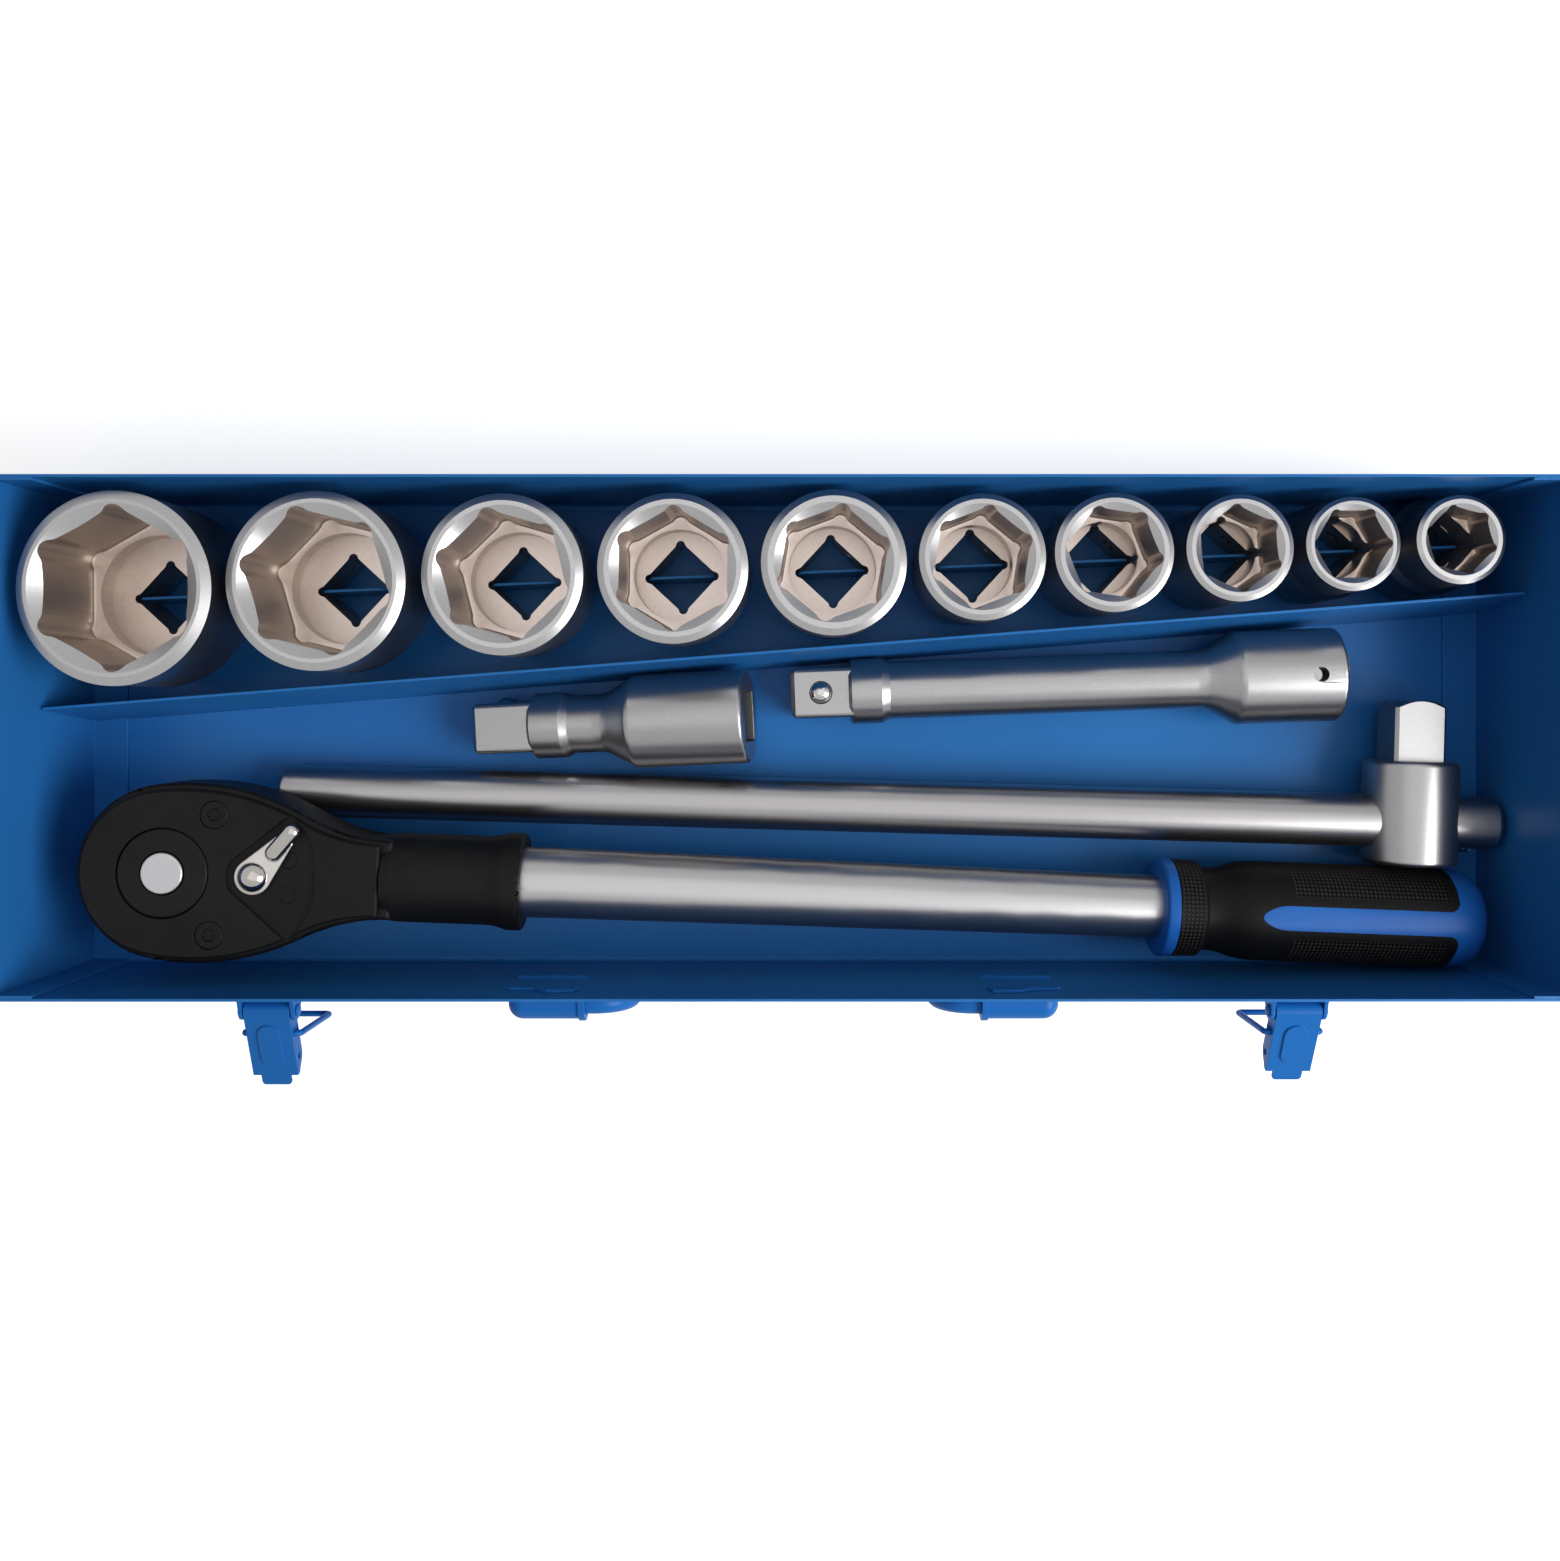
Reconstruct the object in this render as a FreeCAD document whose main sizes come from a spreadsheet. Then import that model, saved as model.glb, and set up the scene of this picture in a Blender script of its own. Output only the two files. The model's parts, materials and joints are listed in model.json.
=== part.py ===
import FreeCAD, Part
import math
import os

import Sketcher
from FreeCAD import Placement, Rotation, Vector

# Socket wrench set: a folded sheet-steel case with sockets, extensions, T-handle and ratchet.
# Millimetres. The origin is the middle of the floor's underside, +X right, +Y back, +Z up.

# Driving dimensions, one word for each cell of the sheet
CELLS = {
    # Case of folded sheet
    "sheet_metal": 1.0,
    "inner_length": 541.6,
    "inner_width": 179.0,
    "wall_height": 70.0,
    "bend_radius": 1.5,
    "end_flange": 13.0,
    # Socket tray: a leaning divider, a base under the sockets and upright tabs
    "divider_left_y": 4.6,
    "divider_right_y": 46.9,
    "divider_lean": 4.6,
    "divider_height": 41.0,
    "divider_gap": 1.2,
    "tray_back_y": 87.0,
    "tab_line_y": 60.7,
    "tab_line_slope": 0.0395,
    "tab_width": 25.0,
    "tab_height": 22.0,
    "tab_corner": 4.0,
    "window_depth": 20.0,
    # Carry handle and its brackets on the front wall
    "handle_height": 46.0,
    "handle_reach": 5.6,
    "handle_rod": 8.0,
    "handle_half_span": 56.5,
    "handle_drop": 37.0,
    "handle_bend": 12.0,
    "bracket_inner_x": 71.0,
    "bracket_length": 28.0,
    "bracket_shell": 1.4,
    "bracket_foot": 26.0,
    # Toggle latches
    "latch_x": 179.7,
    "latch_pivot_out": 5.0,
    "latch_pivot_z": 61.0,
    "latch_base_width": 19.6,
    "latch_base_height": 27.0,
    "latch_ear": 1.4,
    "latch_pin": 3.0,
    "lever_width": 16.0,
    "lever_length": 29.0,
    "lever_tab_width": 10.5,
    "lever_tab": 4.0,
    "lever_face": 3.5,
    "lever_flange": 6.6,
    "left_lever_tilt": 22.0,
    "right_lever_tilt": 28.0,
    "bail_wire": 2.2,
    "bail_width": 22.0,
    "bail_along": 9.0,
    "bail_below_face": 2.5,
    "bail_drop": 31.0,
    # Drive square shared by every tool
    "drive_square": 19.05,
    "drive_socket": 19.35,
    "square_round": 2.0,
    "ball_size": 10.0,
    "ball_proud": 2.0,
    # Extension bars
    "long_length": 206.0,
    "short_length": 105.2,
    "extension_square": 22.0,
    "collar_size": 25.0,
    "collar_length": 12.5,
    "shaft_size": 22.0,
    "extension_head": 35.4,
    "long_head_length": 37.0,
    "short_head_length": 42.0,
    "flare_length": 12.0,
    "pin_hole": 5.4,
    "pin_hole_from_end": 10.4,
    "ball_from_tip": 11.4,
    # T-handle
    "bar_size": 20.0,
    "bar_length": 462.0,
    "bar_right_of_head": 32.0,
    "t_head_size": 34.5,
    "t_head_front": 16.1,
    "t_head_back": 23.0,
    "t_square": 22.6,
    "stop_ball": 5.0,
    # Ratchet head
    "head_half": 15.0,
    "cover_thickness": 2.8,
    "head_end_radius": 31.5,
    "belly_radius": 82.5,
    "belly_u": 9.0,
    "neck_start": 80.0,
    "neck_size": 32.5,
    "neck_end": 126.0,
    "cover_inset": 2.2,
    "cover_end": 76.0,
    "ratchet_square": 22.0,
    "gear_tip": 22.0,
    "tooth_depth": 1.7,
    "gear_top_journal": 16.0,
    "gear_low_journal": 15.0,
    "button_size": 15.0,
    "button_proud": 0.8,
    "button_travel": 4.0,
    "plunger_size": 7.6,
    "release_ball": 7.0,
    "release_ball_proud": 1.5,
    "screw_u": 17.3,
    "screw_v": 21.5,
    "screw_head": 10.0,
    "lever_u": 32.0,
    "lever_arm": 24.5,
    "lever_base": 20.0,
    "lever_rest": 51.0,
    "lever_recess": 1.4,
    "pawl_turn": 6.0,
    # Ratchet handle
    "tube_head_end": 26.0,
    "tube_grip_end": 23.4,
    "grip_start": 361.5,
    "grip_end": 486.0,
    "grip_collar": 5.0,
    "grip_size": 37.2,
    "grip_waist": 31.0,
    "grip_core": 28.0,
    "stripe_start": 396.5,
    "stripe_width": 9.0,
}

# Sockets: across flats, place along the tray, mouth, drive end, length, hex depth, turn of the hex
SOCKETS = (
    (50, -230.9, 67.5, 48.0, 67.5, 38.0, 30.0),
    (46, -162.0, 62.4, 47.0, 65.0, 36.0, 46.0),
    (41, -97.9, 56.5, 45.0, 62.0, 33.5, 44.0),
    (38, -38.6, 52.9, 44.0, 60.0, 31.0, 29.0),
    (36, 17.9, 51.3, 43.0, 58.0, 29.0, 20.5),
    (32, 70.4, 44.8, 42.0, 56.0, 27.0, 21.0),
    (30, 117.4, 42.2, 40.0, 54.0, 24.0, 51.5),
    (27, 162.5, 38.1, 38.0, 52.0, 22.0, 35.5),
    (24, 203.5, 33.6, 36.5, 50.0, 19.0, 0.5),
    (22, 242.0, 31.8, 36.0, 50.0, 16.0, 45.0),
)
SOCKET_NAMES = ("length", "mouth", "drive_end", "hex_depth")

doc = FreeCAD.newDocument("SocketWrenchSet")
sheet = doc.addObject("Spreadsheet::Sheet", "Dimensions")
for flats, _, mouth, drive_end, length, hex_depth, _ in SOCKETS:
    CELLS[f"socket{flats}_flats"] = float(flats)
    for word, value in zip(SOCKET_NAMES, (length, mouth, drive_end, hex_depth)):
        CELLS[f"socket{flats}_{word}"] = value
for row, (word, value) in enumerate(CELLS.items(), start=1):
    sheet.set(f"A{row}", word)
    sheet.set(f"B{row}", str(value))
    sheet.setAlias(f"B{row}", word)
doc.recompute()


class Size:
    """A length with its value and the sheet formula that it comes from."""

    def __init__(self, value, formula=None):
        self.value = float(value)
        self.bound = formula is not None
        self.formula = formula or f"({float(value):.9f})"

    def mix(self, other, sign, value):
        return Size(value, f"({self.formula} {sign} {other.formula})")

    def __add__(self, other):
        other = as_size(other)
        return self.mix(other, "+", self.value + other.value)

    def __sub__(self, other):
        other = as_size(other)
        return self.mix(other, "-", self.value - other.value)

    def __mul__(self, other):
        other = as_size(other)
        return self.mix(other, "*", self.value * other.value)

    def __truediv__(self, other):
        other = as_size(other)
        return self.mix(other, "/", self.value / other.value)

    def __rsub__(self, other):
        return as_size(other) - self

    def __neg__(self):
        return self * -1.0

    __radd__ = __add__
    __rmul__ = __mul__


def as_size(value):
    return value if isinstance(value, Size) else Size(value)


def cell(word):
    return Size(CELLS[word], f"Dimensions.{word}")


def number(word):
    return float(sheet.get(word))


# Sketches, attached to a body's own origin planes
def new_body(name):
    body = doc.addObject("PartDesign::Body", name)
    body.Label = name
    return body


def new_sketch(body, role, offset=0.0, turn=None, shift=(0.0, 0.0)):
    plane = next(item for item in body.Origin.OriginFeatures if item.Role == role)
    sketch = body.newObject("Sketcher::SketchObject", f"{body.Name}_profile")
    sketch.AttachmentSupport = [(plane, "")]
    sketch.MapMode = "FlatFace"
    offset = as_size(offset)
    base = Vector(shift[0], shift[1], offset.value)
    sketch.AttachmentOffset = Placement(base, turn or Rotation())
    if offset.bound:
        sketch.setExpression("AttachmentOffset.Base.z", offset.formula)
    return sketch


def hold(sketch, rules):
    first = sketch.ConstraintCount
    sketch.addConstraint([rule for rule, _ in rules])
    for index, (_, size) in enumerate(rules, start=first):
        if size is not None and size.bound:
            sketch.setExpression(f"Constraints[{index}]", size.formula)


def arc_between(start, end, radius):
    """The shorter arc from start to end, counter-clockwise where the radius is positive."""
    middle = (start + end) * 0.5
    along = end - start
    half = along.Length / 2
    side = Vector(-along.y, along.x, 0).normalize()
    reach = math.sqrt(max(radius * radius - half * half, 0.0))
    centre = middle + side * (reach if radius > 0 else -reach)
    first, last = (start, end) if radius > 0 else (end, start)
    turn_start = math.atan2(first.y - centre.y, first.x - centre.x)
    turn_end = math.atan2(last.y - centre.y, last.x - centre.x)
    circle = Part.Circle(centre, Vector(0, 0, 1), abs(radius))
    return Part.ArcOfCircle(circle, turn_start, turn_end)


def outline(sketch, steps, close=True):
    """Closed profile from (x, y) corners; (x, y, radius) reaches its corner along an arc."""
    corners = [(as_size(step[0]), as_size(step[1])) for step in steps]
    points = [Vector(x.value, y.value, 0) for x, y in corners]
    count = len(steps)
    rules = []
    ends = []
    for index in range(count if close else count - 1):
        following = (index + 1) % count
        start, end = points[index], points[following]
        radius = as_size(steps[following][2]) if len(steps[following]) > 2 else None
        if radius is None:
            geometry = sketch.addGeometry(Part.LineSegment(start, end), False)
            ends.append((geometry, 1, 2))
        else:
            geometry = sketch.addGeometry(arc_between(start, end, radius.value), False)
            ends.append((geometry, 1, 2) if radius.value > 0 else (geometry, 2, 1))
            size = radius if radius.value > 0 else -radius
            rules.append((Sketcher.Constraint("Radius", geometry, size.value), size))
    for index, (geometry, first, last) in enumerate(ends):
        following = ends[(index + 1) % len(ends)]
        if close or index + 1 < len(ends):
            joint = Sketcher.Constraint("Coincident", geometry, last, following[0], following[1])
            rules.append((joint, None))
        x, y = corners[index]
        rules.append((Sketcher.Constraint("DistanceX", geometry, first, x.value), x))
        rules.append((Sketcher.Constraint("DistanceY", geometry, first, y.value), y))
    if not close:
        geometry, _, last = ends[-1]
        x, y = corners[-1]
        rules.append((Sketcher.Constraint("DistanceX", geometry, last, x.value), x))
        rules.append((Sketcher.Constraint("DistanceY", geometry, last, y.value), y))
    hold(sketch, rules)


def circle(sketch, x, y, radius):
    x, y, radius = as_size(x), as_size(y), as_size(radius)
    centre = Vector(x.value, y.value, 0)
    geometry = sketch.addGeometry(Part.Circle(centre, Vector(0, 0, 1), radius.value), False)
    rules = [(Sketcher.Constraint("Radius", geometry, radius.value), radius)]
    rules.append((Sketcher.Constraint("DistanceX", geometry, 3, x.value), x))
    rules.append((Sketcher.Constraint("DistanceY", geometry, 3, y.value), y))
    hold(sketch, rules)


def rectangle(sketch, left, low, right, high):
    outline(sketch, [(left, low), (right, low), (right, high), (left, high)])


def rounded_square(sketch, half, round_radius):
    half, small = as_size(half), as_size(round_radius)
    flat = half - small
    outline(sketch, [
        (half, flat),
        (flat, half, small),
        (-flat, half),
        (-half, flat, small),
        (-half, -flat),
        (-flat, -half, small),
        (flat, -half),
        (half, -flat, small),
    ])


# Features; each cut is compared with the volume before it
def pad(body, sketch, length, both=False, back=False):
    feature = body.newObject("PartDesign::Pad", f"{body.Name}_pad")
    return set_length(feature, sketch, length, both, back)


def pocket(body, sketch, length, both=False, back=False):
    doc.recompute()
    before = body.Shape.Volume
    feature = body.newObject("PartDesign::Pocket", f"{body.Name}_pocket")
    set_length(feature, sketch, length, both, back)
    doc.recompute()
    if body.Shape.Volume >= before - 1e-6:
        raise RuntimeError(f"{feature.Name} cuts nothing")
    return feature


def set_length(feature, sketch, length, both, back):
    feature.Profile = sketch
    length = as_size(length)
    feature.Length = length.value
    if length.bound:
        feature.setExpression("Length", length.formula)
    feature.Midplane = both
    feature.Reversed = back
    return feature


def revolve(body, sketch, axis="H_Axis"):
    feature = body.newObject("PartDesign::Revolution", f"{body.Name}_turned")
    feature.Profile = sketch
    feature.ReferenceAxis = (sketch, [axis])
    feature.Angle = 360
    return feature


def groove(body, sketch, axis="H_Axis"):
    doc.recompute()
    before = body.Shape.Volume
    feature = body.newObject("PartDesign::Groove", f"{body.Name}_groove")
    feature.Profile = sketch
    feature.ReferenceAxis = (sketch, [axis])
    feature.Angle = 360
    doc.recompute()
    if body.Shape.Volume >= before - 1e-6:
        raise RuntimeError(f"{feature.Name} cuts nothing")
    return feature


def edges_where(body, test):
    doc.recompute()
    feature = body.Tip
    chosen = []
    for index, edge in enumerate(feature.Shape.Edges, start=1):
        box = edge.BoundBox
        if test(box):
            chosen.append(f"Edge{index}")
    return feature, chosen


def soften(body, kind, size, test):
    """Fillet or chamfer on the edges whose boxes pass the test."""
    feature, chosen = edges_where(body, test)
    if not chosen:
        raise RuntimeError(f"{body.Name} has no such edge")
    edge = body.newObject(f"PartDesign::{kind}", f"{body.Name}_{kind.lower()}")
    edge.Base = (feature, chosen)
    setattr(edge, "Radius" if kind == "Fillet" else "Size", as_size(size).value)
    doc.recompute()
    return edge


def near(value, target, tolerance=0.01):
    return abs(value - target) < tolerance


def at_height(low, tolerance=0.01):
    return lambda box: near(box.ZMin, low, tolerance) and near(box.ZMax, low, tolerance)


def at_x(place):
    return lambda box: near(box.XMin, place) and near(box.XMax, place)


NODES = {}


def finish(item, name, placement=None):
    """Give a sub-part its place in the set and its name."""
    item.Label = name
    if placement is not None:
        item.Placement = placement
    NODES[name] = item
    return item


def fixed_shape(name, shape, placement=None):
    item = doc.addObject("Part::Feature", name)
    item.Shape = shape
    return finish(item, name, placement)


def ball(name, radius, placement):
    item = doc.addObject("Part::Sphere", name)
    radius = as_size(radius)
    item.Radius = radius.value
    item.setExpression("Radius", radius.formula)
    return finish(item, name, placement)


def tangent_arc(start, heading, end):
    """Arc that leaves start along the heading and ends at end."""
    chord = end - start
    half = chord.Length / 2
    along = Vector(chord).normalize()
    turn = math.acos(max(-1.0, min(1.0, heading.dot(along))))
    side = (heading - along * heading.dot(along)).normalize()
    middle = start + chord * 0.5 + side * (half * math.tan(turn / 2))
    return Part.Arc(start, middle, end).toShape()


def coil_spring(name, radius, wire, low, high, turns, placement):
    """Round wire wound about Z, swept along pairs of tangent arcs, four pairs to a turn."""
    steps = 4
    quarter = 2 * math.pi / steps
    climb = (high - low) / (turns * steps)
    edges = []
    for index in range(turns * steps):
        ends = []
        for corner in (index, index + 1):
            turn = corner * quarter
            spot = Vector(radius * math.cos(turn), radius * math.sin(turn), low + climb * corner)
            heading = Vector(-radius * math.sin(turn), radius * math.cos(turn), climb / quarter)
            ends.append((spot, heading.normalize()))
        (start, leave), (end, arrive) = ends
        chord = end - start
        both = chord.dot(leave + arrive)
        spread = 2 * (1 - leave.dot(arrive))
        reach = (math.sqrt(both * both + spread * chord.dot(chord)) - both) / spread
        first = start + leave * reach
        second = end - arrive * reach
        join = (first + second) * 0.5
        edges.append(tangent_arc(start, leave, join))
        edges.append(tangent_arc(join, (second - first).normalize(), end))
    path = Part.Wire(edges)
    start = Vector(radius, 0, low)
    heading = Vector(0, radius, climb / quarter)
    section = Part.Wire(Part.Circle(start, heading, wire / 2).toShape())
    shape = path.makePipeShell([section], True, False)
    drawn = math.pi * wire * wire / 4 * path.Length
    print(f"{name}: wire volume {shape.Volume / drawn:.3f} of its section times its length")
    fixed_shape(name, Part.Solid(shape.Solids[0]), placement)


def ball_spring(name, placement):
    """Spring in a ball's blind hole; the placement's Z runs out through the ball."""
    coil_spring(name, 3.6, 0.9, -3.85, 2.4, 4, placement)


def turned(axis, degrees):
    return Rotation(Vector(*axis), degrees)


X_AXIS = (1, 0, 0)
Y_AXIS = (0, 1, 0)
Z_AXIS = (0, 0, 1)
FLOOR = number("sheet_metal")
REST_GAP = 0.1

metal = cell("sheet_metal")
half_length = cell("inner_length") / 2
half_width = cell("inner_width") / 2
rim = cell("wall_height") + metal
bend = cell("bend_radius")


# Case: a folded trough closed by two flanged end panels
def case_trough():
    body = new_body("case_trough")
    outer = half_width + metal
    big = bend + metal
    profile = new_sketch(body, "YZ_Plane")
    outline(profile, [
        (outer, rim),
        (outer, big),
        (outer - big, 0.0, -big),
        (-outer + big, 0.0),
        (-outer, big, -big),
        (-outer, rim),
        (-half_width, rim),
        (-half_width, metal + bend),
        (-half_width + bend, metal, bend),
        (half_width - bend, metal),
        (half_width, metal + bend, bend),
        (half_width, rim),
    ])
    pad(body, profile, cell("inner_length") + metal * 2, both=True)
    slots = new_sketch(body, "XZ_Plane", offset=half_width - 1.0)
    for left, low, right, high in clinch_slots():
        rectangle(slots, left, low, right, high)
    pocket(body, slots, metal + 2.0, back=True)
    finish(body, "case_trough")


def clinch_slots():
    """Four slots in the front wall for the tabs of the handle brackets."""
    slot_half_width = 13.2
    slot_half_height = 0.8
    boxes = []
    for side in (-1, 1):
        middle = (cell("bracket_inner_x") + cell("bracket_length") / 2) * side
        for level in (-1, 1):
            height = cell("handle_height") + clinch_level() * level
            boxes.append((
                middle - slot_half_width,
                height - slot_half_height,
                middle + slot_half_width,
                height + slot_half_height,
            ))
    return boxes


def clinch_level():
    return cell("bracket_foot") / 2 - 3.0


def end_panel(name, side):
    body = new_body(name)
    face = (half_length + metal) * side
    plate = new_sketch(body, "YZ_Plane", offset=face)
    wide, low, small = half_width, metal, bend
    outline(plate, [
        (wide, rim),
        (-wide, rim),
        (-wide, low + small),
        (-wide + small, low, small),
        (wide - small, low),
        (wide, low + small, small),
    ])
    pad(body, plate, metal, back=side > 0)
    strip = new_sketch(body, "YZ_Plane", offset=face)
    tight = 0.5
    narrow, high = half_width - metal, metal * 2
    outline(strip, [
        (wide, rim),
        (narrow, rim),
        (narrow, high + tight),
        (narrow - tight, high, -tight),
        (-narrow + tight, high),
        (-narrow, high + tight, -tight),
        (-narrow, rim),
        (-wide, rim),
        (-wide, low + small),
        (-wide + small, low, small),
        (wide - small, low),
        (wide, low + small, small),
    ])
    pad(body, strip, cell("end_flange") + metal, back=side > 0)
    finish(body, name)


def tray_turn():
    return math.degrees(math.atan(number("tab_line_slope")))


def socket_place(along):
    """Middle of a socket on the tab line."""
    return along, number("tab_line_y") + number("tab_line_slope") * along


def socket_tray():
    body = new_body("socket_tray")
    end_x = half_length - cell("divider_gap")
    base_x = half_length - cell("end_flange") - 0.4
    slope = (cell("divider_right_y") - cell("divider_left_y")) / (half_length * 2)
    middle_y = (cell("divider_right_y") + cell("divider_left_y")) / 2
    base = new_sketch(body, "XY_Plane", offset=metal)
    back = cell("tray_back_y")
    outline(base, [
        (-base_x, middle_y - slope * base_x),
        (base_x, middle_y + slope * base_x),
        (base_x, back),
        (-base_x, back),
    ])
    pad(body, base, metal)
    sections = []
    for side in (-1, 1):
        foot = middle_y + slope * end_x * side
        top = foot + cell("divider_lean")
        section = new_sketch(body, "YZ_Plane", offset=end_x * side)
        outline(section, [
            (foot, metal),
            (foot + metal, metal),
            (top + metal, cell("divider_height") + metal),
            (top, cell("divider_height") + metal),
        ])
        sections.append(section)
    wall = body.newObject("PartDesign::AdditiveLoft", "socket_tray_wall")
    wall.Profile = sections[0]
    wall.Sections = [sections[1]]
    wall.Ruled = True
    # The wall's ends pass over the end panels' floor flanges
    notches = new_sketch(body, "XZ_Plane")
    notch_top = metal * 2 + 0.2
    rectangle(notches, -half_length, metal * 0.5, -base_x, notch_top)
    rectangle(notches, base_x, metal * 0.5, half_length, notch_top)
    pocket(body, notches, cell("inner_width"), both=True)
    # Upright tabs stand on the line of the sockets, each lanced out of a window behind it
    turn = tray_turn()
    stretch = math.hypot(1.0, number("tab_line_slope"))
    line_y = number("tab_line_y")
    tabs = new_sketch(body, "XZ_Plane", -cell("tab_line_y"), turned(Y_AXIS, turn))
    windows = new_sketch(body, "XY_Plane", metal * 2, turned(Z_AXIS, turn), (0.0, line_y))
    half_tab = cell("tab_width") / 2
    corner = cell("tab_corner")
    top = metal * 2 + cell("tab_height")
    for row in SOCKETS:
        middle = row[1] * stretch
        outline(tabs, [
            (middle - half_tab, metal * 1.5),
            (middle + half_tab, metal * 1.5),
            (middle + half_tab, top - corner),
            (middle + half_tab - corner, top, corner),
            (middle - half_tab + corner, top),
            (middle - half_tab, top - corner, corner),
        ])
        rectangle(windows, middle - half_tab, metal * 0.5, middle + half_tab, cell("window_depth"))
    pad(body, tabs, metal, both=True)
    pocket(body, windows, metal * 1.5)
    finish(body, "socket_tray")


# Carry handle: a bent rod that swings in two pressed brackets
def handle_axis_y():
    return -(half_width + metal + cell("handle_reach"))


def handle_bracket(name, side):
    body = new_body(name)
    wall_y = -(half_width + metal)
    height = cell("handle_height")
    shell = cell("handle_rod") / 2 + 0.3 + cell("bracket_shell")
    inner_x = cell("bracket_inner_x")
    length = cell("bracket_length")
    saddle = new_sketch(body, "YZ_Plane", offset=inner_x * side)
    outline(saddle, [
        (wall_y, height + shell),
        (handle_axis_y(), height + shell),
        (handle_axis_y() - shell, height, shell),
        (handle_axis_y(), height - shell, shell),
        (wall_y, height - shell),
    ])
    pad(body, saddle, length, back=side < 0)
    outer_x = (number("bracket_inner_x") + number("bracket_length")) * side
    soften(body, "Fillet", 5.6, lambda box: at_x(outer_x)(box) and box.YMin < wall_y.value - 1.0)
    foot = new_sketch(body, "YZ_Plane", offset=inner_x * side)
    half_foot = cell("bracket_foot") / 2
    rectangle(foot, wall_y - 1.2, height - half_foot, wall_y, height + half_foot)
    pad(body, foot, length, back=side < 0)
    bead = new_sketch(body, "YZ_Plane", offset=inner_x * side)
    lip = shell + 0.7
    outline(bead, [
        (wall_y, height + lip),
        (handle_axis_y(), height + lip),
        (handle_axis_y() - lip, height, lip),
        (handle_axis_y(), height - lip, lip),
        (wall_y, height - lip),
    ])
    pad(body, bead, 2.4, back=side < 0)
    bore = new_sketch(body, "YZ_Plane", offset=inner_x * side)
    circle(bore, handle_axis_y(), height, cell("handle_rod") / 2 + 0.3)
    pocket(body, bore, length - 3.0, back=side > 0)
    # Two tabs go through the wall and are folded over inside
    middle = (inner_x + length / 2) * side
    tab_half = 13.0
    tab_thick = 0.6
    inside = -half_width + 0.1
    for level in (-1, 1):
        spot = height + clinch_level() * level
        stem = new_sketch(body, "XZ_Plane", offset=half_width + metal)
        rectangle(stem, middle - tab_half, spot - tab_thick, middle + tab_half, spot + tab_thick)
        pad(body, stem, metal + 1.2, back=True)
        fold = new_sketch(body, "XZ_Plane", offset=-inside)
        reach = 6.0 * level
        low = spot - tab_thick * level
        outline(fold, [
            (middle + tab_half * side, low),
            (middle - tab_half * side, low),
            (middle - (tab_half - 1.5) * side, low + reach),
            (middle - 2.0 * side, low + reach),
            (middle + 3.0 * side, low + reach * 0.4),
            (middle + (tab_half - 1.5) * side, low + reach * 0.4),
        ])
        pad(body, fold, 1.1, back=True)
    finish(body, name)


def carry_handle():
    body = new_body("carry_handle")
    height = cell("handle_height")
    span = cell("handle_half_span")
    drop = cell("handle_drop")
    curve = cell("handle_bend")
    tail = cell("bracket_inner_x") + cell("bracket_length") - 5.0
    path = new_sketch(body, "XZ_Plane", offset=-handle_axis_y())
    outline(path, [
        (-tail, height),
        (-span - curve, height),
        (-span, height - curve, -curve),
        (-span, height - drop + curve),
        (-span + curve, height - drop, curve),
        (span - curve, height - drop),
        (span, height - drop + curve, curve),
        (span, height - curve),
        (span + curve, height, -curve),
        (tail, height),
    ], close=False)
    section = new_sketch(body, "YZ_Plane", offset=-tail)
    circle(section, handle_axis_y(), height, cell("handle_rod") / 2)
    rod = body.newObject("PartDesign::AdditivePipe", "carry_handle_rod")
    rod.Profile = section
    rod.Spine = (path, [])
    finish(body, "carry_handle")


# Toggle latches: base with ears, riveted pin, channel lever and a hanging wire bail
def latch_pivot():
    return -(half_width + metal + cell("latch_pivot_out"))


def latch_base(name, middle_x):
    body = new_body(name)
    wall_y = -(half_width + metal)
    height = cell("latch_pivot_z")
    plate_top = height + 5.0
    plate_low = plate_top - cell("latch_base_height")
    half = cell("latch_base_width") / 2
    plate = new_sketch(body, "XZ_Plane", offset=-wall_y)
    corner = 3.0
    outline(plate, [
        (-half, plate_low + corner),
        (-half + corner, plate_low, corner),
        (half - corner, plate_low),
        (half, plate_low + corner, corner),
        (half, plate_top),
        (-half, plate_top),
    ])
    pad(body, plate, 1.2)
    ear = cell("latch_pin") / 2 + 1.8
    for side in (-1, 1):
        cheek = new_sketch(body, "YZ_Plane", offset=half * side)
        outline(cheek, [
            (wall_y, height - ear - 1.5),
            (latch_pivot(), height - ear),
            (latch_pivot() - ear, height, -ear),
            (latch_pivot(), height + ear, -ear),
            (wall_y, height + ear + 1.5),
        ])
        pad(body, cheek, cell("latch_ear"), back=side > 0)
    bore = new_sketch(body, "YZ_Plane")
    circle(bore, latch_pivot(), height, cell("latch_pin") / 2 + 0.05)
    pocket(body, bore, cell("latch_base_width") + 2.0, both=True)
    finish(body, name, Placement(Vector(middle_x, 0, 0), Rotation()))


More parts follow.
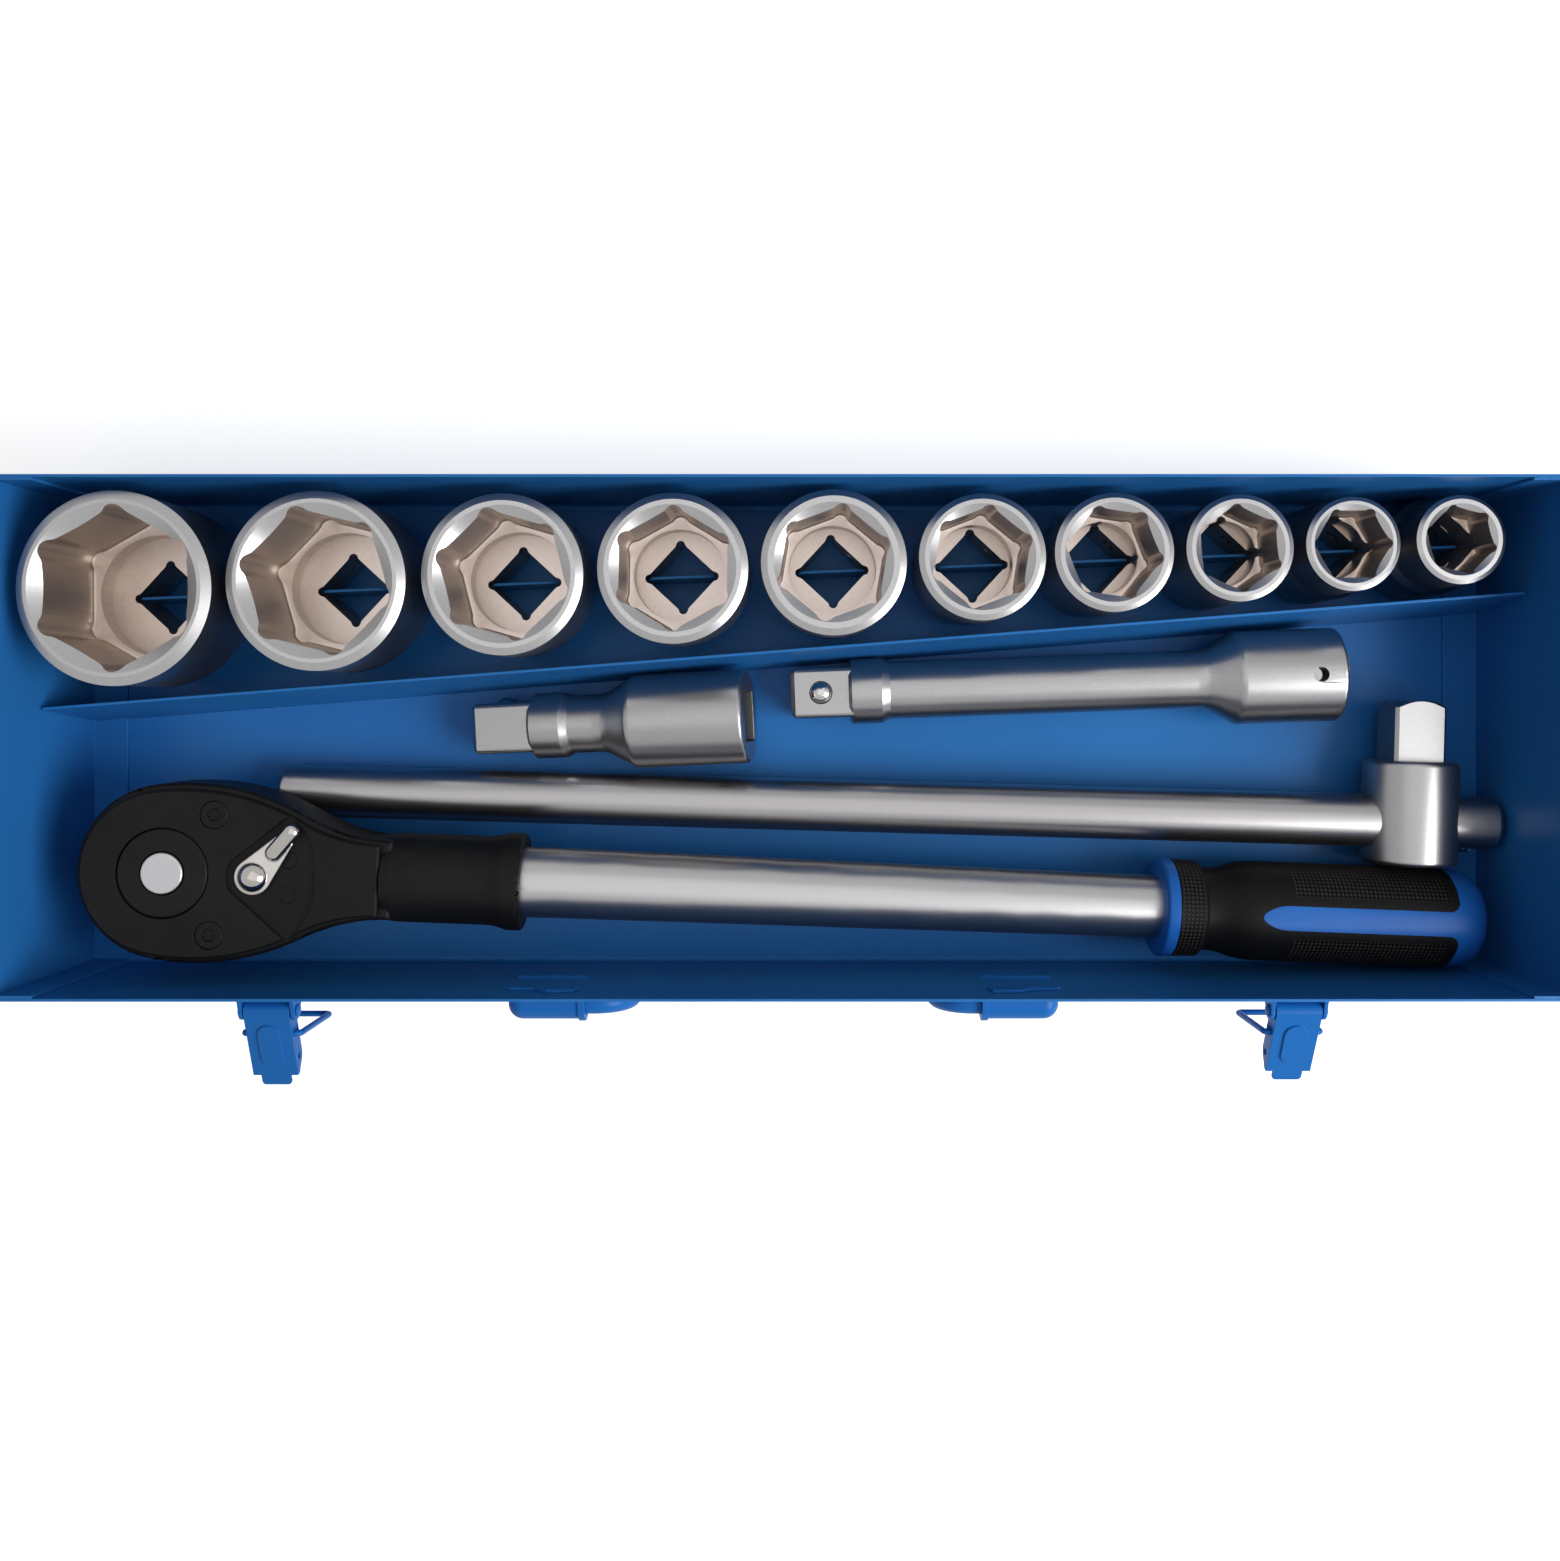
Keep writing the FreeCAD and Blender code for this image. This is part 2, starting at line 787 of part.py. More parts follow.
def latch_pin(name, middle_x):
    body = new_body(name)
    half = cell("latch_base_width") / 2
    small = cell("latch_pin") / 2
    head = 0.9
    profile = new_sketch(body, "XZ_Plane")
    outline(profile, [
        (-half - head, 0.0),
        (half + head, 0.0),
        (half + head, small * 0.8),
        (half + head * 0.6, small + 0.7),
        (half + 0.05, small + 0.7),
        (half + 0.05, small),
        (-half - 0.05, small),
        (-half - 0.05, small + 0.7),
        (-half - head * 0.6, small + 0.7),
        (-half - head, small * 0.8),
    ])
    revolve(body, profile)
    place = Vector(middle_x, latch_pivot().value, number("latch_pivot_z"))
    finish(body, name, Placement(place, Rotation()))


def latch_lever(name, middle_x, tilt):
    body = new_body(name)
    face = cell("lever_face")
    under = face - cell("lever_flange")
    length = cell("lever_length")
    body_end = length - cell("lever_tab")
    lug = face
    side = new_sketch(body, "YZ_Plane")
    outline(side, [
        (0.0, face, lug),
        (-body_end, face),
        (-body_end, face - 2.0),
        (-body_end + 1.5, face - 3.0),
        (-body_end + 6.0, under, 8.0),
        (-6.0, under),
        (0.0, -lug),
        (lug, 0.0, lug),
    ])
    pad(body, side, cell("lever_width"), both=True)
    # Inside of the channel, whose face rolls round the pin
    hollow = new_sketch(body, "YZ_Plane")
    roll = face - metal
    outline(hollow, [
        (-length, under - 3.0),
        (roll, under - 3.0),
        (roll, 0.0),
        (0.0, roll, roll),
        (-length, roll),
    ])
    pocket(body, hollow, cell("lever_width") - metal * 2, both=True)
    tab = new_sketch(body, "XY_Plane", offset=face - metal)
    half_tab = cell("lever_tab_width") / 2
    soft = 1.5
    outline(tab, [
        (-half_tab, -body_end + 1.0),
        (-half_tab, -length + soft),
        (-half_tab + soft, -length, soft),
        (half_tab - soft, -length),
        (half_tab, -length + soft, soft),
        (half_tab, -body_end + 1.0),
    ])
    pad(body, tab, metal)
    rib = new_sketch(body, "XY_Plane", offset=face - metal * 0.5)
    rib_half = 4.0
    rib_near, rib_far = -8.0, -17.0
    outline(rib, [
        (rib_half, rib_near),
        (0.0, rib_near + rib_half, rib_half),
        (-rib_half, rib_near, rib_half),
        (-rib_half, rib_far),
        (0.0, rib_far - rib_half, rib_half),
        (rib_half, rib_far, rib_half),
    ])
    pad(body, rib, metal * 0.5 + 0.7)
    for along, height, radius in (
        (0.0, 0.0, cell("latch_pin") / 2 + 0.05),
        (cell("bail_along"), face - cell("bail_below_face"), cell("bail_wire") / 2 + 0.08),
        (19.0, 0.0, 1.2),
    ):
        bore = new_sketch(body, "YZ_Plane")
        circle(bore, -as_size(along), height, radius)
        pocket(body, bore, cell("lever_width") + 2.0, both=True)
    place = Vector(middle_x, latch_pivot().value, number("latch_pivot_z"))
    return finish(body, name, Placement(place, turned(X_AXIS, tilt)))


def latch_bail(name, lever):
    body = new_body(name)
    half = cell("bail_width") / 2 - cell("bail_wire") / 2
    drop = cell("bail_drop")
    curve = 1.7
    tail = cell("lever_width") / 2 - 2.6
    path = new_sketch(body, "XZ_Plane")
    outline(path, [
        (-tail, 0.0),
        (-half + curve, 0.0),
        (-half, -curve, curve),
        (-half, -drop + curve),
        (-half + curve, -drop, curve),
        (half - curve, -drop),
        (half, -drop + curve, curve),
        (half, -curve),
        (half - curve, 0.0, curve),
        (tail, 0.0),
    ], close=False)
    section = new_sketch(body, "YZ_Plane", offset=-tail)
    circle(section, 0.0, 0.0, cell("bail_wire") / 2)
    wire = body.newObject("PartDesign::AdditivePipe", f"{name}_wire")
    wire.Profile = section
    wire.Spine = (path, [])
    hinge = Vector(0, -number("bail_along"), number("lever_face") - number("bail_below_face"))
    finish(body, name, Placement(lever.Placement.multVec(hinge), Rotation()))


# Sockets: a turned body, a six-point mouth with round lobes and a square drive hole
LOBE_REACH = 0.58
LOBE_RADIUS = 0.09


def lobed_hexagon(sketch, flats, turn):
    """Six flats joined by wide shallow lobes at the corners."""
    centre = LOBE_REACH - LOBE_RADIUS
    inside = 0.5 - centre * math.cos(math.pi / 6)
    flat_end = centre * 0.5 - math.sqrt(LOBE_RADIUS ** 2 - inside ** 2)
    steps = []
    for side in range(6):
        normal = math.radians(turn + 60.0 * side - 30.0)
        across = (math.cos(normal), math.sin(normal))
        along = (-across[1], across[0])
        for sign in (-1, 1):
            x = flats * (0.5 * across[0] + sign * flat_end * along[0])
            y = flats * (0.5 * across[1] + sign * flat_end * along[1])
            steps.append((x, y, flats * LOBE_RADIUS) if sign < 0 else (x, y))
    outline(sketch, steps)


def wrench_socket(row):
    flats, along, *_, hex_turn = row
    name = f"socket_{flats}"
    body = new_body(name)
    across = cell(f"socket{flats}_flats")
    length = cell(f"socket{flats}_length")
    mouth = cell(f"socket{flats}_mouth") / 2
    low = cell(f"socket{flats}_drive_end") / 2
    hex_depth = cell(f"socket{flats}_hex_depth")
    drive_depth = 25.0
    taper = abs(mouth.value - low.value) * 0.8 + 1.0
    shoulder = 28.0
    edge_width = mouth * 0.09
    edge_height = mouth * 0.05
    profile = new_sketch(body, "XZ_Plane")
    outline(profile, [
        (0.0, 0.0),
        (low - 1.4, 0.0),
        (low, 1.4),
        (low, shoulder - taper),
        (mouth, shoulder),
        (mouth, length - edge_height),
        (mouth - edge_width, length),
        (0.0, length),
    ])
    revolve(body, profile, "V_Axis")
    yaw = tray_turn()
    hexagon = new_sketch(body, "XY_Plane", offset=length)
    lobed_hexagon(hexagon, across, hex_turn - yaw)
    pocket(body, hexagon, hex_depth)
    lead = new_sketch(body, "XZ_Plane")
    lead_top = across * (LOBE_REACH + 0.008)
    lead_drop = across * 0.07
    outline(lead, [
        (0.0, length),
        (lead_top, length),
        (across * 0.49, length - lead_drop),
        (0.0, length - lead_drop),
    ])
    groove(body, lead, "V_Axis")
    relief = length - hex_depth - drive_depth
    bore = new_sketch(body, "XY_Plane", offset=length - hex_depth)
    circle(bore, 0.0, 0.0, across * 0.45)
    pocket(body, bore, relief if relief.value > 0.9 else 0.9)
    square = new_sketch(body, "XY_Plane", turn=turned(Z_AXIS, 45.0))
    rounded_square(square, cell("drive_socket") / 2, 1.2)
    pocket(body, square, length - hex_depth, back=True)
    pin_hole = new_sketch(body, "YZ_Plane", turn=turned(Y_AXIS, 45.0))
    circle(pin_hole, 0.0, cell("ball_from_tip"), cell("pin_hole") / 2)
    pocket(body, pin_hole, low + 2.0, back=True)
    x, y = socket_place(along)
    place = Vector(x, y, FLOOR * 2 + REST_GAP / 2)
    finish(body, name, Placement(place, turned(Z_AXIS, yaw)))


# Extension bars: a square with a sprung ball, a shaft and a square socket
def ball_seat(body, along, half):
    """Blind hole for a sprung ball, with a staked lip at the face."""
    lip = 0.4
    seat = new_sketch(body, "XY_Plane", offset=half - lip)
    circle(seat, along, 0.0, cell("ball_size") / 2 + 0.1)
    pocket(body, seat, half + 4.0)
    mouth = new_sketch(body, "XY_Plane", offset=half + 1.0)
    circle(mouth, along, 0.0, cell("ball_size") / 2 - 0.65)
    pocket(body, mouth, 3.0)


def ball_centre(along):
    height = number("drive_square") / 2 + number("ball_proud") - number("ball_size") / 2
    return Vector(along, 0, height)


def extension(name, length, head_length, start, heading, roll):
    body = new_body(name)
    half = cell("drive_square") / 2
    square = cell("extension_square")
    collar = cell("collar_size") / 2
    shaft = cell("shaft_size") / 2
    head = cell("extension_head") / 2
    collar_end = square + cell("collar_length")
    head_start = length - head_length
    end_round = 1.6
    profile = new_sketch(body, "XZ_Plane")
    outline(profile, [
        (square, 0.0),
        (length, 0.0),
        (length, head - end_round),
        (length - end_round, head, end_round),
        (head_start, head),
        (head_start - 3.0, head - 1.2, 4.4),
        (head_start - cell("flare_length"), shaft + 0.6),
        (head_start - cell("flare_length") - 5.0, shaft, -22.0),
        (collar_end + 3.0, shaft),
        (collar_end, collar),
        (square + 1.2, collar),
        (square, collar - 1.2),
    ])
    revolve(body, profile)
    tip = new_sketch(body, "YZ_Plane")
    rounded_square(tip, half, cell("square_round"))
    pad(body, tip, square + 2.0)
    soften(body, "Chamfer", 1.6, at_x(0.0))
    ball_seat(body, cell("ball_from_tip"), half)
    mouth = new_sketch(body, "YZ_Plane", offset=length)
    rounded_square(mouth, cell("drive_socket") / 2, 1.2)
    pocket(body, mouth, 25.0)
    pin_hole = new_sketch(body, "XY_Plane")
    circle(pin_hole, length - cell("pin_hole_from_end"), 0.0, cell("pin_hole") / 2)
    pocket(body, pin_hole, head * 2.0 + 2.0, both=True)
    # The bar lies on the collar's outer edge and on the near edge of its socket end
    collar_spot = square.value + 1.2
    rise = math.asin((head.value - collar.value) / (head_start.value - collar_spot))
    low_z = FLOOR + REST_GAP + collar.value - collar_spot * math.sin(rise)
    turn = turned(Z_AXIS, heading) * turned(Y_AXIS, -math.degrees(rise)) * turned(X_AXIS, roll)
    place = Placement(Vector(start[0], start[1], low_z), turn)
    finish(body, name, place)
    spot = place.multVec(ball_centre(number("ball_from_tip")))
    ball(f"{name}_ball", cell("ball_size") / 2, Placement(spot, turn))
    under = place.multVec(Vector(number("ball_from_tip"), 0, 0))
    ball_spring(f"{name}_spring", Placement(under, turn))


# T-handle: a head that slides on a plain bar between two stop balls
T_HEAD_X = 237.4
T_BAR_Y = -33.0
T_HEADING = -1.5
# The head clears the floor also where it has slid down the slanting bar
T_HEAD_GAP = 0.36


def t_handle_place():
    head = number("t_head_size") / 2
    bar = number("bar_size") / 2
    left = number("bar_length") - number("bar_right_of_head")
    rise = math.degrees(math.asin((head + T_HEAD_GAP - bar - REST_GAP) / left))
    place = Vector(T_HEAD_X, T_BAR_Y, FLOOR + T_HEAD_GAP + head)
    return Placement(place, turned(Z_AXIS, T_HEADING) * turned(Y_AXIS, -rise))


def stop_places():
    """Stop balls along the bar, measured from the head's middle."""
    left_end = -(number("bar_length") - number("bar_right_of_head"))
    right = number("t_head_size") / 2 + number("stop_ball") / 2 + 0.5
    return left_end + 12.0, right


def sliding_bar(place):
    body = new_body("sliding_bar")
    small = cell("bar_size") / 2
    right = cell("bar_right_of_head")
    left = right - cell("bar_length")
    crown = 2.2
    profile = new_sketch(body, "XZ_Plane")
    outline(profile, [
        (left, 0.0),
        (right, 0.0),
        (right, small - crown),
        (right - crown, small, crown),
        (left + crown, small),
        (left, small - crown, crown),
    ])
    revolve(body, profile)
    seat_depth = 3.75
    for spot in stop_places():
        seat = new_sketch(body, "XZ_Plane", offset=small)
        circle(seat, spot, 0.0, cell("stop_ball") / 2 + 0.05)
        pocket(body, seat, seat_depth)
    finish(body, "sliding_bar", place)
    balls = []
    proud = 1.3
    for spot in stop_places():
        depth = -(small.value + proud - number("stop_ball") / 2)
        balls.append(Part.makeSphere(number("stop_ball") / 2, Vector(spot, depth, 0)))
    fixed_shape("bar_stop_balls", Part.makeCompound(balls), place)


def t_head(place):
    body = new_body("t_head")
    big = cell("t_head_size") / 2
    front = -cell("t_head_front")
    back = cell("t_head_back")
    edge = 2.0
    profile = new_sketch(body, "XY_Plane")
    outline(profile, [
        (0.0, front),
        (big - edge, front),
        (big, front + edge, edge),
        (big, back - edge),
        (big - edge, back, edge),
        (0.0, back),
    ])
    revolve(body, profile, "V_Axis")
    half = cell("drive_square") / 2
    square = new_sketch(body, "XZ_Plane", offset=-back)
    rounded_square(square, half, cell("square_round"))
    pad(body, square, cell("t_square"), back=True)
    tip_y = number("t_head_back") + number("t_square")
    soften(body, "Chamfer", 1.6, lambda box: near(box.YMin, tip_y) and near(box.YMax, tip_y))
    bore = new_sketch(body, "YZ_Plane")
    circle(bore, 0.0, 0.0, cell("bar_size") / 2 + 0.08)
    pocket(body, bore, cell("t_head_size") + 2.0, both=True)
    # The sprung ball sits in the square's right side
    ball_y = back + cell("t_square") - cell("ball_from_tip")
    lip = 0.4
    seat = new_sketch(body, "YZ_Plane", offset=half - lip)
    circle(seat, ball_y, 0.0, cell("ball_size") / 2 + 0.1)
    pocket(body, seat, half + 4.0)
    mouth = new_sketch(body, "YZ_Plane", offset=half + 1.0)
    circle(mouth, ball_y, 0.0, cell("ball_size") / 2 - 0.65)
    pocket(body, mouth, 3.0)
    finish(body, "t_head", place)
    depth = number("drive_square") / 2 + number("ball_proud") - number("ball_size") / 2
    spot = place.multVec(Vector(depth, ball_y.value, 0))
    ball("t_head_ball", cell("ball_size") / 2, Placement(spot, place.Rotation))
    under = place.multVec(Vector(0, ball_y.value, 0))
    ball_spring("t_head_spring", Placement(under, place.Rotation * turned(Y_AXIS, 90.0)))


# Ratchet, in its own frame: u along the handle from the drive axis, w up from the tube's axis
RATCHET_X = -221.5
RATCHET_Y = -48.6
RATCHET_HEADING = -2.55
GRIP_CONTACT = 467.0
TEETH = 36
NOTCH_FLOOR = 0.7
NOTCH_FLANK = 0.65
WELL_DEPTH = 12.0
CAP_HEIGHT = 4.6


def ratchet_place():
    tip = number("head_half") + number("ratchet_square")
    grip = number("grip_size") / 2
    fall = math.asin((tip - grip) / GRIP_CONTACT)
    corner_drop = number("drive_square") / 2 * math.sin(fall)
    height = FLOOR + REST_GAP + tip + corner_drop
    fall = math.asin((height - FLOOR - REST_GAP - grip) / GRIP_CONTACT)
    turn = turned(Z_AXIS, RATCHET_HEADING) * turned(Y_AXIS, math.degrees(fall))
    return Placement(Vector(RATCHET_X, RATCHET_Y, height), turn)


def head_steps(inset, end_u, neck_half):
    """Pear-shaped head: end arc, belly arcs and hollow flanks, each tangent to the next."""
    end_radius = number("head_end_radius") - inset
    belly = number("belly_radius") - inset
    belly_u = number("belly_u")
    belly_v = -math.sqrt((belly - end_radius) ** 2 - belly_u ** 2)
    scale = end_radius / (end_radius - belly)
    join = Vector(belly_u * scale, belly_v * scale, 0)
    run = end_u - belly_u
    lift = neck_half - belly_v
    flank = (run * run + lift * lift - belly * belly) / (2 * (belly - lift))
    centre = Vector(end_u, neck_half + flank, 0)
    start = Vector(belly_u, belly_v, 0)
    bend_point = start + (centre - start) * (belly / (belly + flank))
    return [
        (end_u, neck_half),
        (bend_point.x, bend_point.y, -flank),
        (join.x, join.y, belly),
        (join.x, -join.y, end_radius),
        (bend_point.x, -bend_point.y, belly),
        (end_u, -neck_half, -flank),
    ]


def head_outline(sketch, inset, end_u, neck_half):
    outline(sketch, head_steps(inset, end_u, neck_half))


def ratchet_housing(place):
    body = new_body("ratchet_housing")
    low = -cell("head_half")
    seat = cell("head_half") - cell("cover_thickness")
    neck = cell("neck_size") / 2
    shape = new_sketch(body, "XY_Plane", offset=low)
    head_outline(shape, 0.0, number("neck_start"), number("neck_size") / 2 - 2.0)
    pad(body, shape, seat - low)
    soften(body, "Fillet", 5.0, at_height(low.value))
    soften(body, "Fillet", 2.0, at_height(seat.value))
    neck_end = cell("neck_end")
    start = cell("neck_start")
    ring = neck + 1.6
    throat = new_sketch(body, "XZ_Plane")
    outline(throat, [
        (start - 26.0, 0.0),
        (neck_end, 0.0),
        (neck_end, ring - 1.2),
        (neck_end - 1.2, ring, 1.2),
        (neck_end - 6.0, ring),
        (neck_end - 14.0, neck, -20.0),
        (start, neck),
        (start - 26.0, seat - 3.0, 90.0),
    ])
    revolve(body, throat)
    # Level seat for the cover plate, up to a step where the neck begins
    ledge = new_sketch(body, "XY_Plane", offset=seat)
    step = cell("cover_end") + 0.3
    rectangle(ledge, start - 40.0, -neck * 2.0, step, neck * 2.0)
    pocket(body, ledge, ring, back=True)
    # Chamber for the gear and the pawl, bearing below, screw holes and the tube's seat
    chamber = new_sketch(body, "XY_Plane", offset=seat + 4.0)
    circle(chamber, 0.0, 0.0, cell("gear_tip") + 0.5)
    pocket(body, chamber, seat + 4.0 - (low + 4.0))
    pawl_room = new_sketch(body, "XY_Plane", offset=seat + 4.0)
    pivot = cell("lever_u")
    room = 16.2
    corner = 5.0
    outline(pawl_room, [
        (pivot - 17.0, -room),
        (pivot + 4.0, -room),
        (pivot + 9.5, -room + 5.5, corner * 1.1),
        (pivot + 9.5, room - 5.5),
        (pivot + 4.0, room, corner * 1.1),
        (pivot - 17.0, room),
    ])
    pocket(body, pawl_room, seat + 4.0 - (low + 4.0))
    bearing = new_sketch(body, "XY_Plane", offset=low - 1.0)
    circle(bearing, 0.0, 0.0, cell("gear_low_journal") + 0.05)
    pocket(body, bearing, 8.0, back=True)
    socket = new_sketch(body, "XY_Plane", offset=low + 4.0)
    circle(socket, pivot, 0.0, 4.05)
    pocket(body, socket, 2.0)
    holes = new_sketch(body, "XY_Plane", offset=seat + 1.0)
    for side in (-1, 1):
        circle(holes, cell("screw_u"), cell("screw_v") * side, 2.5)
    pocket(body, holes, 14.0)
    tube_seat = new_sketch(body, "YZ_Plane", offset=neck_end)
    circle(tube_seat, 0.0, 0.0, cell("tube_head_end") / 2 + 0.02)
    pocket(body, tube_seat, 38.0)
    finish(body, "ratchet_housing", place)


def lever_recess(sketch):
    """Fan-shaped recess round the reversing lever's pivot."""
    pivot = cell("lever_u")
    hub = 9.8
    reach = 25.5
    spread = math.radians(62.0)
    far_u = reach * math.cos(spread)
    far_v = reach * math.sin(spread)
    lean = spread + math.radians(90.0) - math.asin(0.1)
    near_u = hub * math.cos(lean)
    near_v = hub * math.sin(lean)
    outline(sketch, [
        (pivot + near_u, near_v),
        (pivot - hub, 0.0, hub),
        (pivot + near_u, -near_v, hub),
        (pivot + far_u, -far_v),
        (pivot + 21.5, 0.0, 24.0),
        (pivot + far_u, far_v, 24.0),
    ])


def cover_plate(place):
    body = new_body("cover_plate")
    top = cell("head_half")
    thick = cell("cover_thickness")
    shape = new_sketch(body, "XY_Plane", offset=top - thick)
    head_outline(shape, number("cover_inset"), number("cover_end"), 12.8)
    pad(body, shape, thick)
    soften(body, "Chamfer", 0.7, at_height(top.value))
    window = new_sketch(body, "XY_Plane", offset=top + 1.0)
    circle(window, 0.0, 0.0, cell("gear_top_journal") + 0.3)
    pocket(body, window, thick + 2.0)
    for radius, depth in ((2.7, thick + 2.0), (cell("screw_head") / 2 + 0.1, as_size(2.6))):
        holes = new_sketch(body, "XY_Plane", offset=top + 1.0)
        for side in (-1, 1):
            circle(holes, cell("screw_u"), cell("screw_v") * side, radius)
        pocket(body, holes, depth)
    fan = new_sketch(body, "XY_Plane", offset=top + 1.0)
    lever_recess(fan)
    pocket(body, fan, cell("lever_recess") + 1.0)
    dimples = new_sketch(body, "XY_Plane", offset=top)
    detent_radius = 13.4
    for degrees in (-28.0, 28.0):
        u = detent_radius * math.cos(math.radians(degrees))
        v = detent_radius * math.sin(math.radians(degrees))
        circle(dimples, cell("lever_u") + u, v, 3.2)
    pocket(body, dimples, cell("lever_recess") + 0.6)
    pivot = new_sketch(body, "XY_Plane", offset=top)
    circle(pivot, cell("lever_u"), 0.0, 4.05)
    pocket(body, pivot, thick + 1.0)
    finish(body, "cover_plate", place)


def cover_screws(place):
    """Two flush screws with a six-lobe recess."""
    body = new_body("cover_screw")
    head = cell("screw_head") / 2
    profile = new_sketch(body, "XZ_Plane")
    outline(profile, [
        (0.0, -12.0),
        (2.3, -12.0),
        (2.3, -1.5),
        (head, -1.5),
        (head, -0.3),
        (head - 0.5, 0.0),
        (0.0, 0.0),
    ])
    revolve(body, profile, "V_Axis")
    star = new_sketch(body, "XY_Plane", offset=0.5)
    tip, valley = 2.7, 1.9
    steps = []
    for lobe in range(6):
        middle = math.radians(60.0 * lobe)
        for shift in (-14.0, 14.0):
            turn = middle + math.radians(shift)
            radius = 0.72 if shift > 0 else 1.2
            reach = (tip + valley) / 2
            x, y = reach * math.cos(turn), reach * math.sin(turn)
            steps.append((x, y, radius if shift > 0 else -radius))
    outline(star, steps)
    pocket(body, star, 1.6)
    doc.recompute()
    top = number("head_half")
    solids = []
    for side in (-1, 1):
        copy = body.Shape.copy()
        copy.Placement = Placement(Vector(number("screw_u"), number("screw_v") * side, top), Rotation())
        solids.append(copy)
    fixed_shape("cover_screws", Part.makeCompound(solids), place)


def notch_half(radius):
    """Half width of the gap between two teeth at a radius."""
    root = number("gear_tip") - number("tooth_depth")
    return NOTCH_FLOOR / 2 + (radius - root) * NOTCH_FLANK


def drive_gear(place):
    body = new_body("drive_gear")
    top = cell("head_half")
    seat = top - cell("cover_thickness")
    low = -top
    tip = cell("gear_tip")
    profile = new_sketch(body, "XZ_Plane")
    outline(profile, [
        (0.0, low - 2.0),
        (cell("gear_low_journal") - 1.0, low - 2.0),
        (cell("gear_low_journal"), low - 1.0),
        (cell("gear_low_journal"), low + 4.2),
        (tip, low + 4.2),
        (tip, seat - 0.3),
        (cell("gear_top_journal"), seat - 0.3),
        (cell("gear_top_journal"), top - 0.6),
        (cell("gear_top_journal") - 0.6, top),
        (0.0, top),
    ])
    revolve(body, profile, "V_Axis")
    square = new_sketch(body, "XY_Plane", offset=low - cell("ratchet_square"))
    rounded_square(square, cell("drive_square") / 2, cell("square_round"))
    pad(body, square, cell("ratchet_square"))
    tip_z = -number("head_half") - number("ratchet_square")
    soften(body, "Chamfer", 1.6, at_height(tip_z))
    well = new_sketch(body, "XY_Plane", offset=top + 1.0)
    circle(well, 0.0, 0.0, cell("button_size") / 2 + 0.4)
    pocket(body, well, WELL_DEPTH + 1.0)
    bore = new_sketch(body, "XY_Plane", offset=top)
    circle(bore, 0.0, 0.0, cell("plunger_size") / 2 + 0.1)
    pocket(body, bore, top * 2.0 + cell("ratchet_square") - 3.5)
    ball_hole = new_sketch(body, "XZ_Plane")
    circle(ball_hole, 0.0, release_ball_height(), cell("release_ball") / 2 + 0.1)
    pocket(body, ball_hole, cell("drive_square") / 2 + 1.0)
    # One tooth gap, turned round the axis
    gap = new_sketch(body, "XY_Plane", offset=seat)
    outer = tip + 0.4
    root = tip - cell("tooth_depth")
    wide = notch_half(outer.value)
    outline(gap, [
        (outer, -wide),
        (outer, wide),
        (root, NOTCH_FLOOR / 2),
        (root, -NOTCH_FLOOR / 2),
    ])
    cut = pocket(body, gap, seat - low)
    ring = body.newObject("PartDesign::PolarPattern", "drive_gear_teeth")
    ring.Originals = [cut]
    axis = next(item for item in body.Origin.OriginFeatures if item.Role == "Z_Axis")
    ring.Axis = (axis, [""])
    ring.Angle = 360
    ring.Occurrences = TEETH
    body.Tip = ring
    doc.recompute()
    finish(body, "drive_gear", place)
    return body


def release_ball_height():
    return -cell("head_half") - cell("ratchet_square") + 9.5


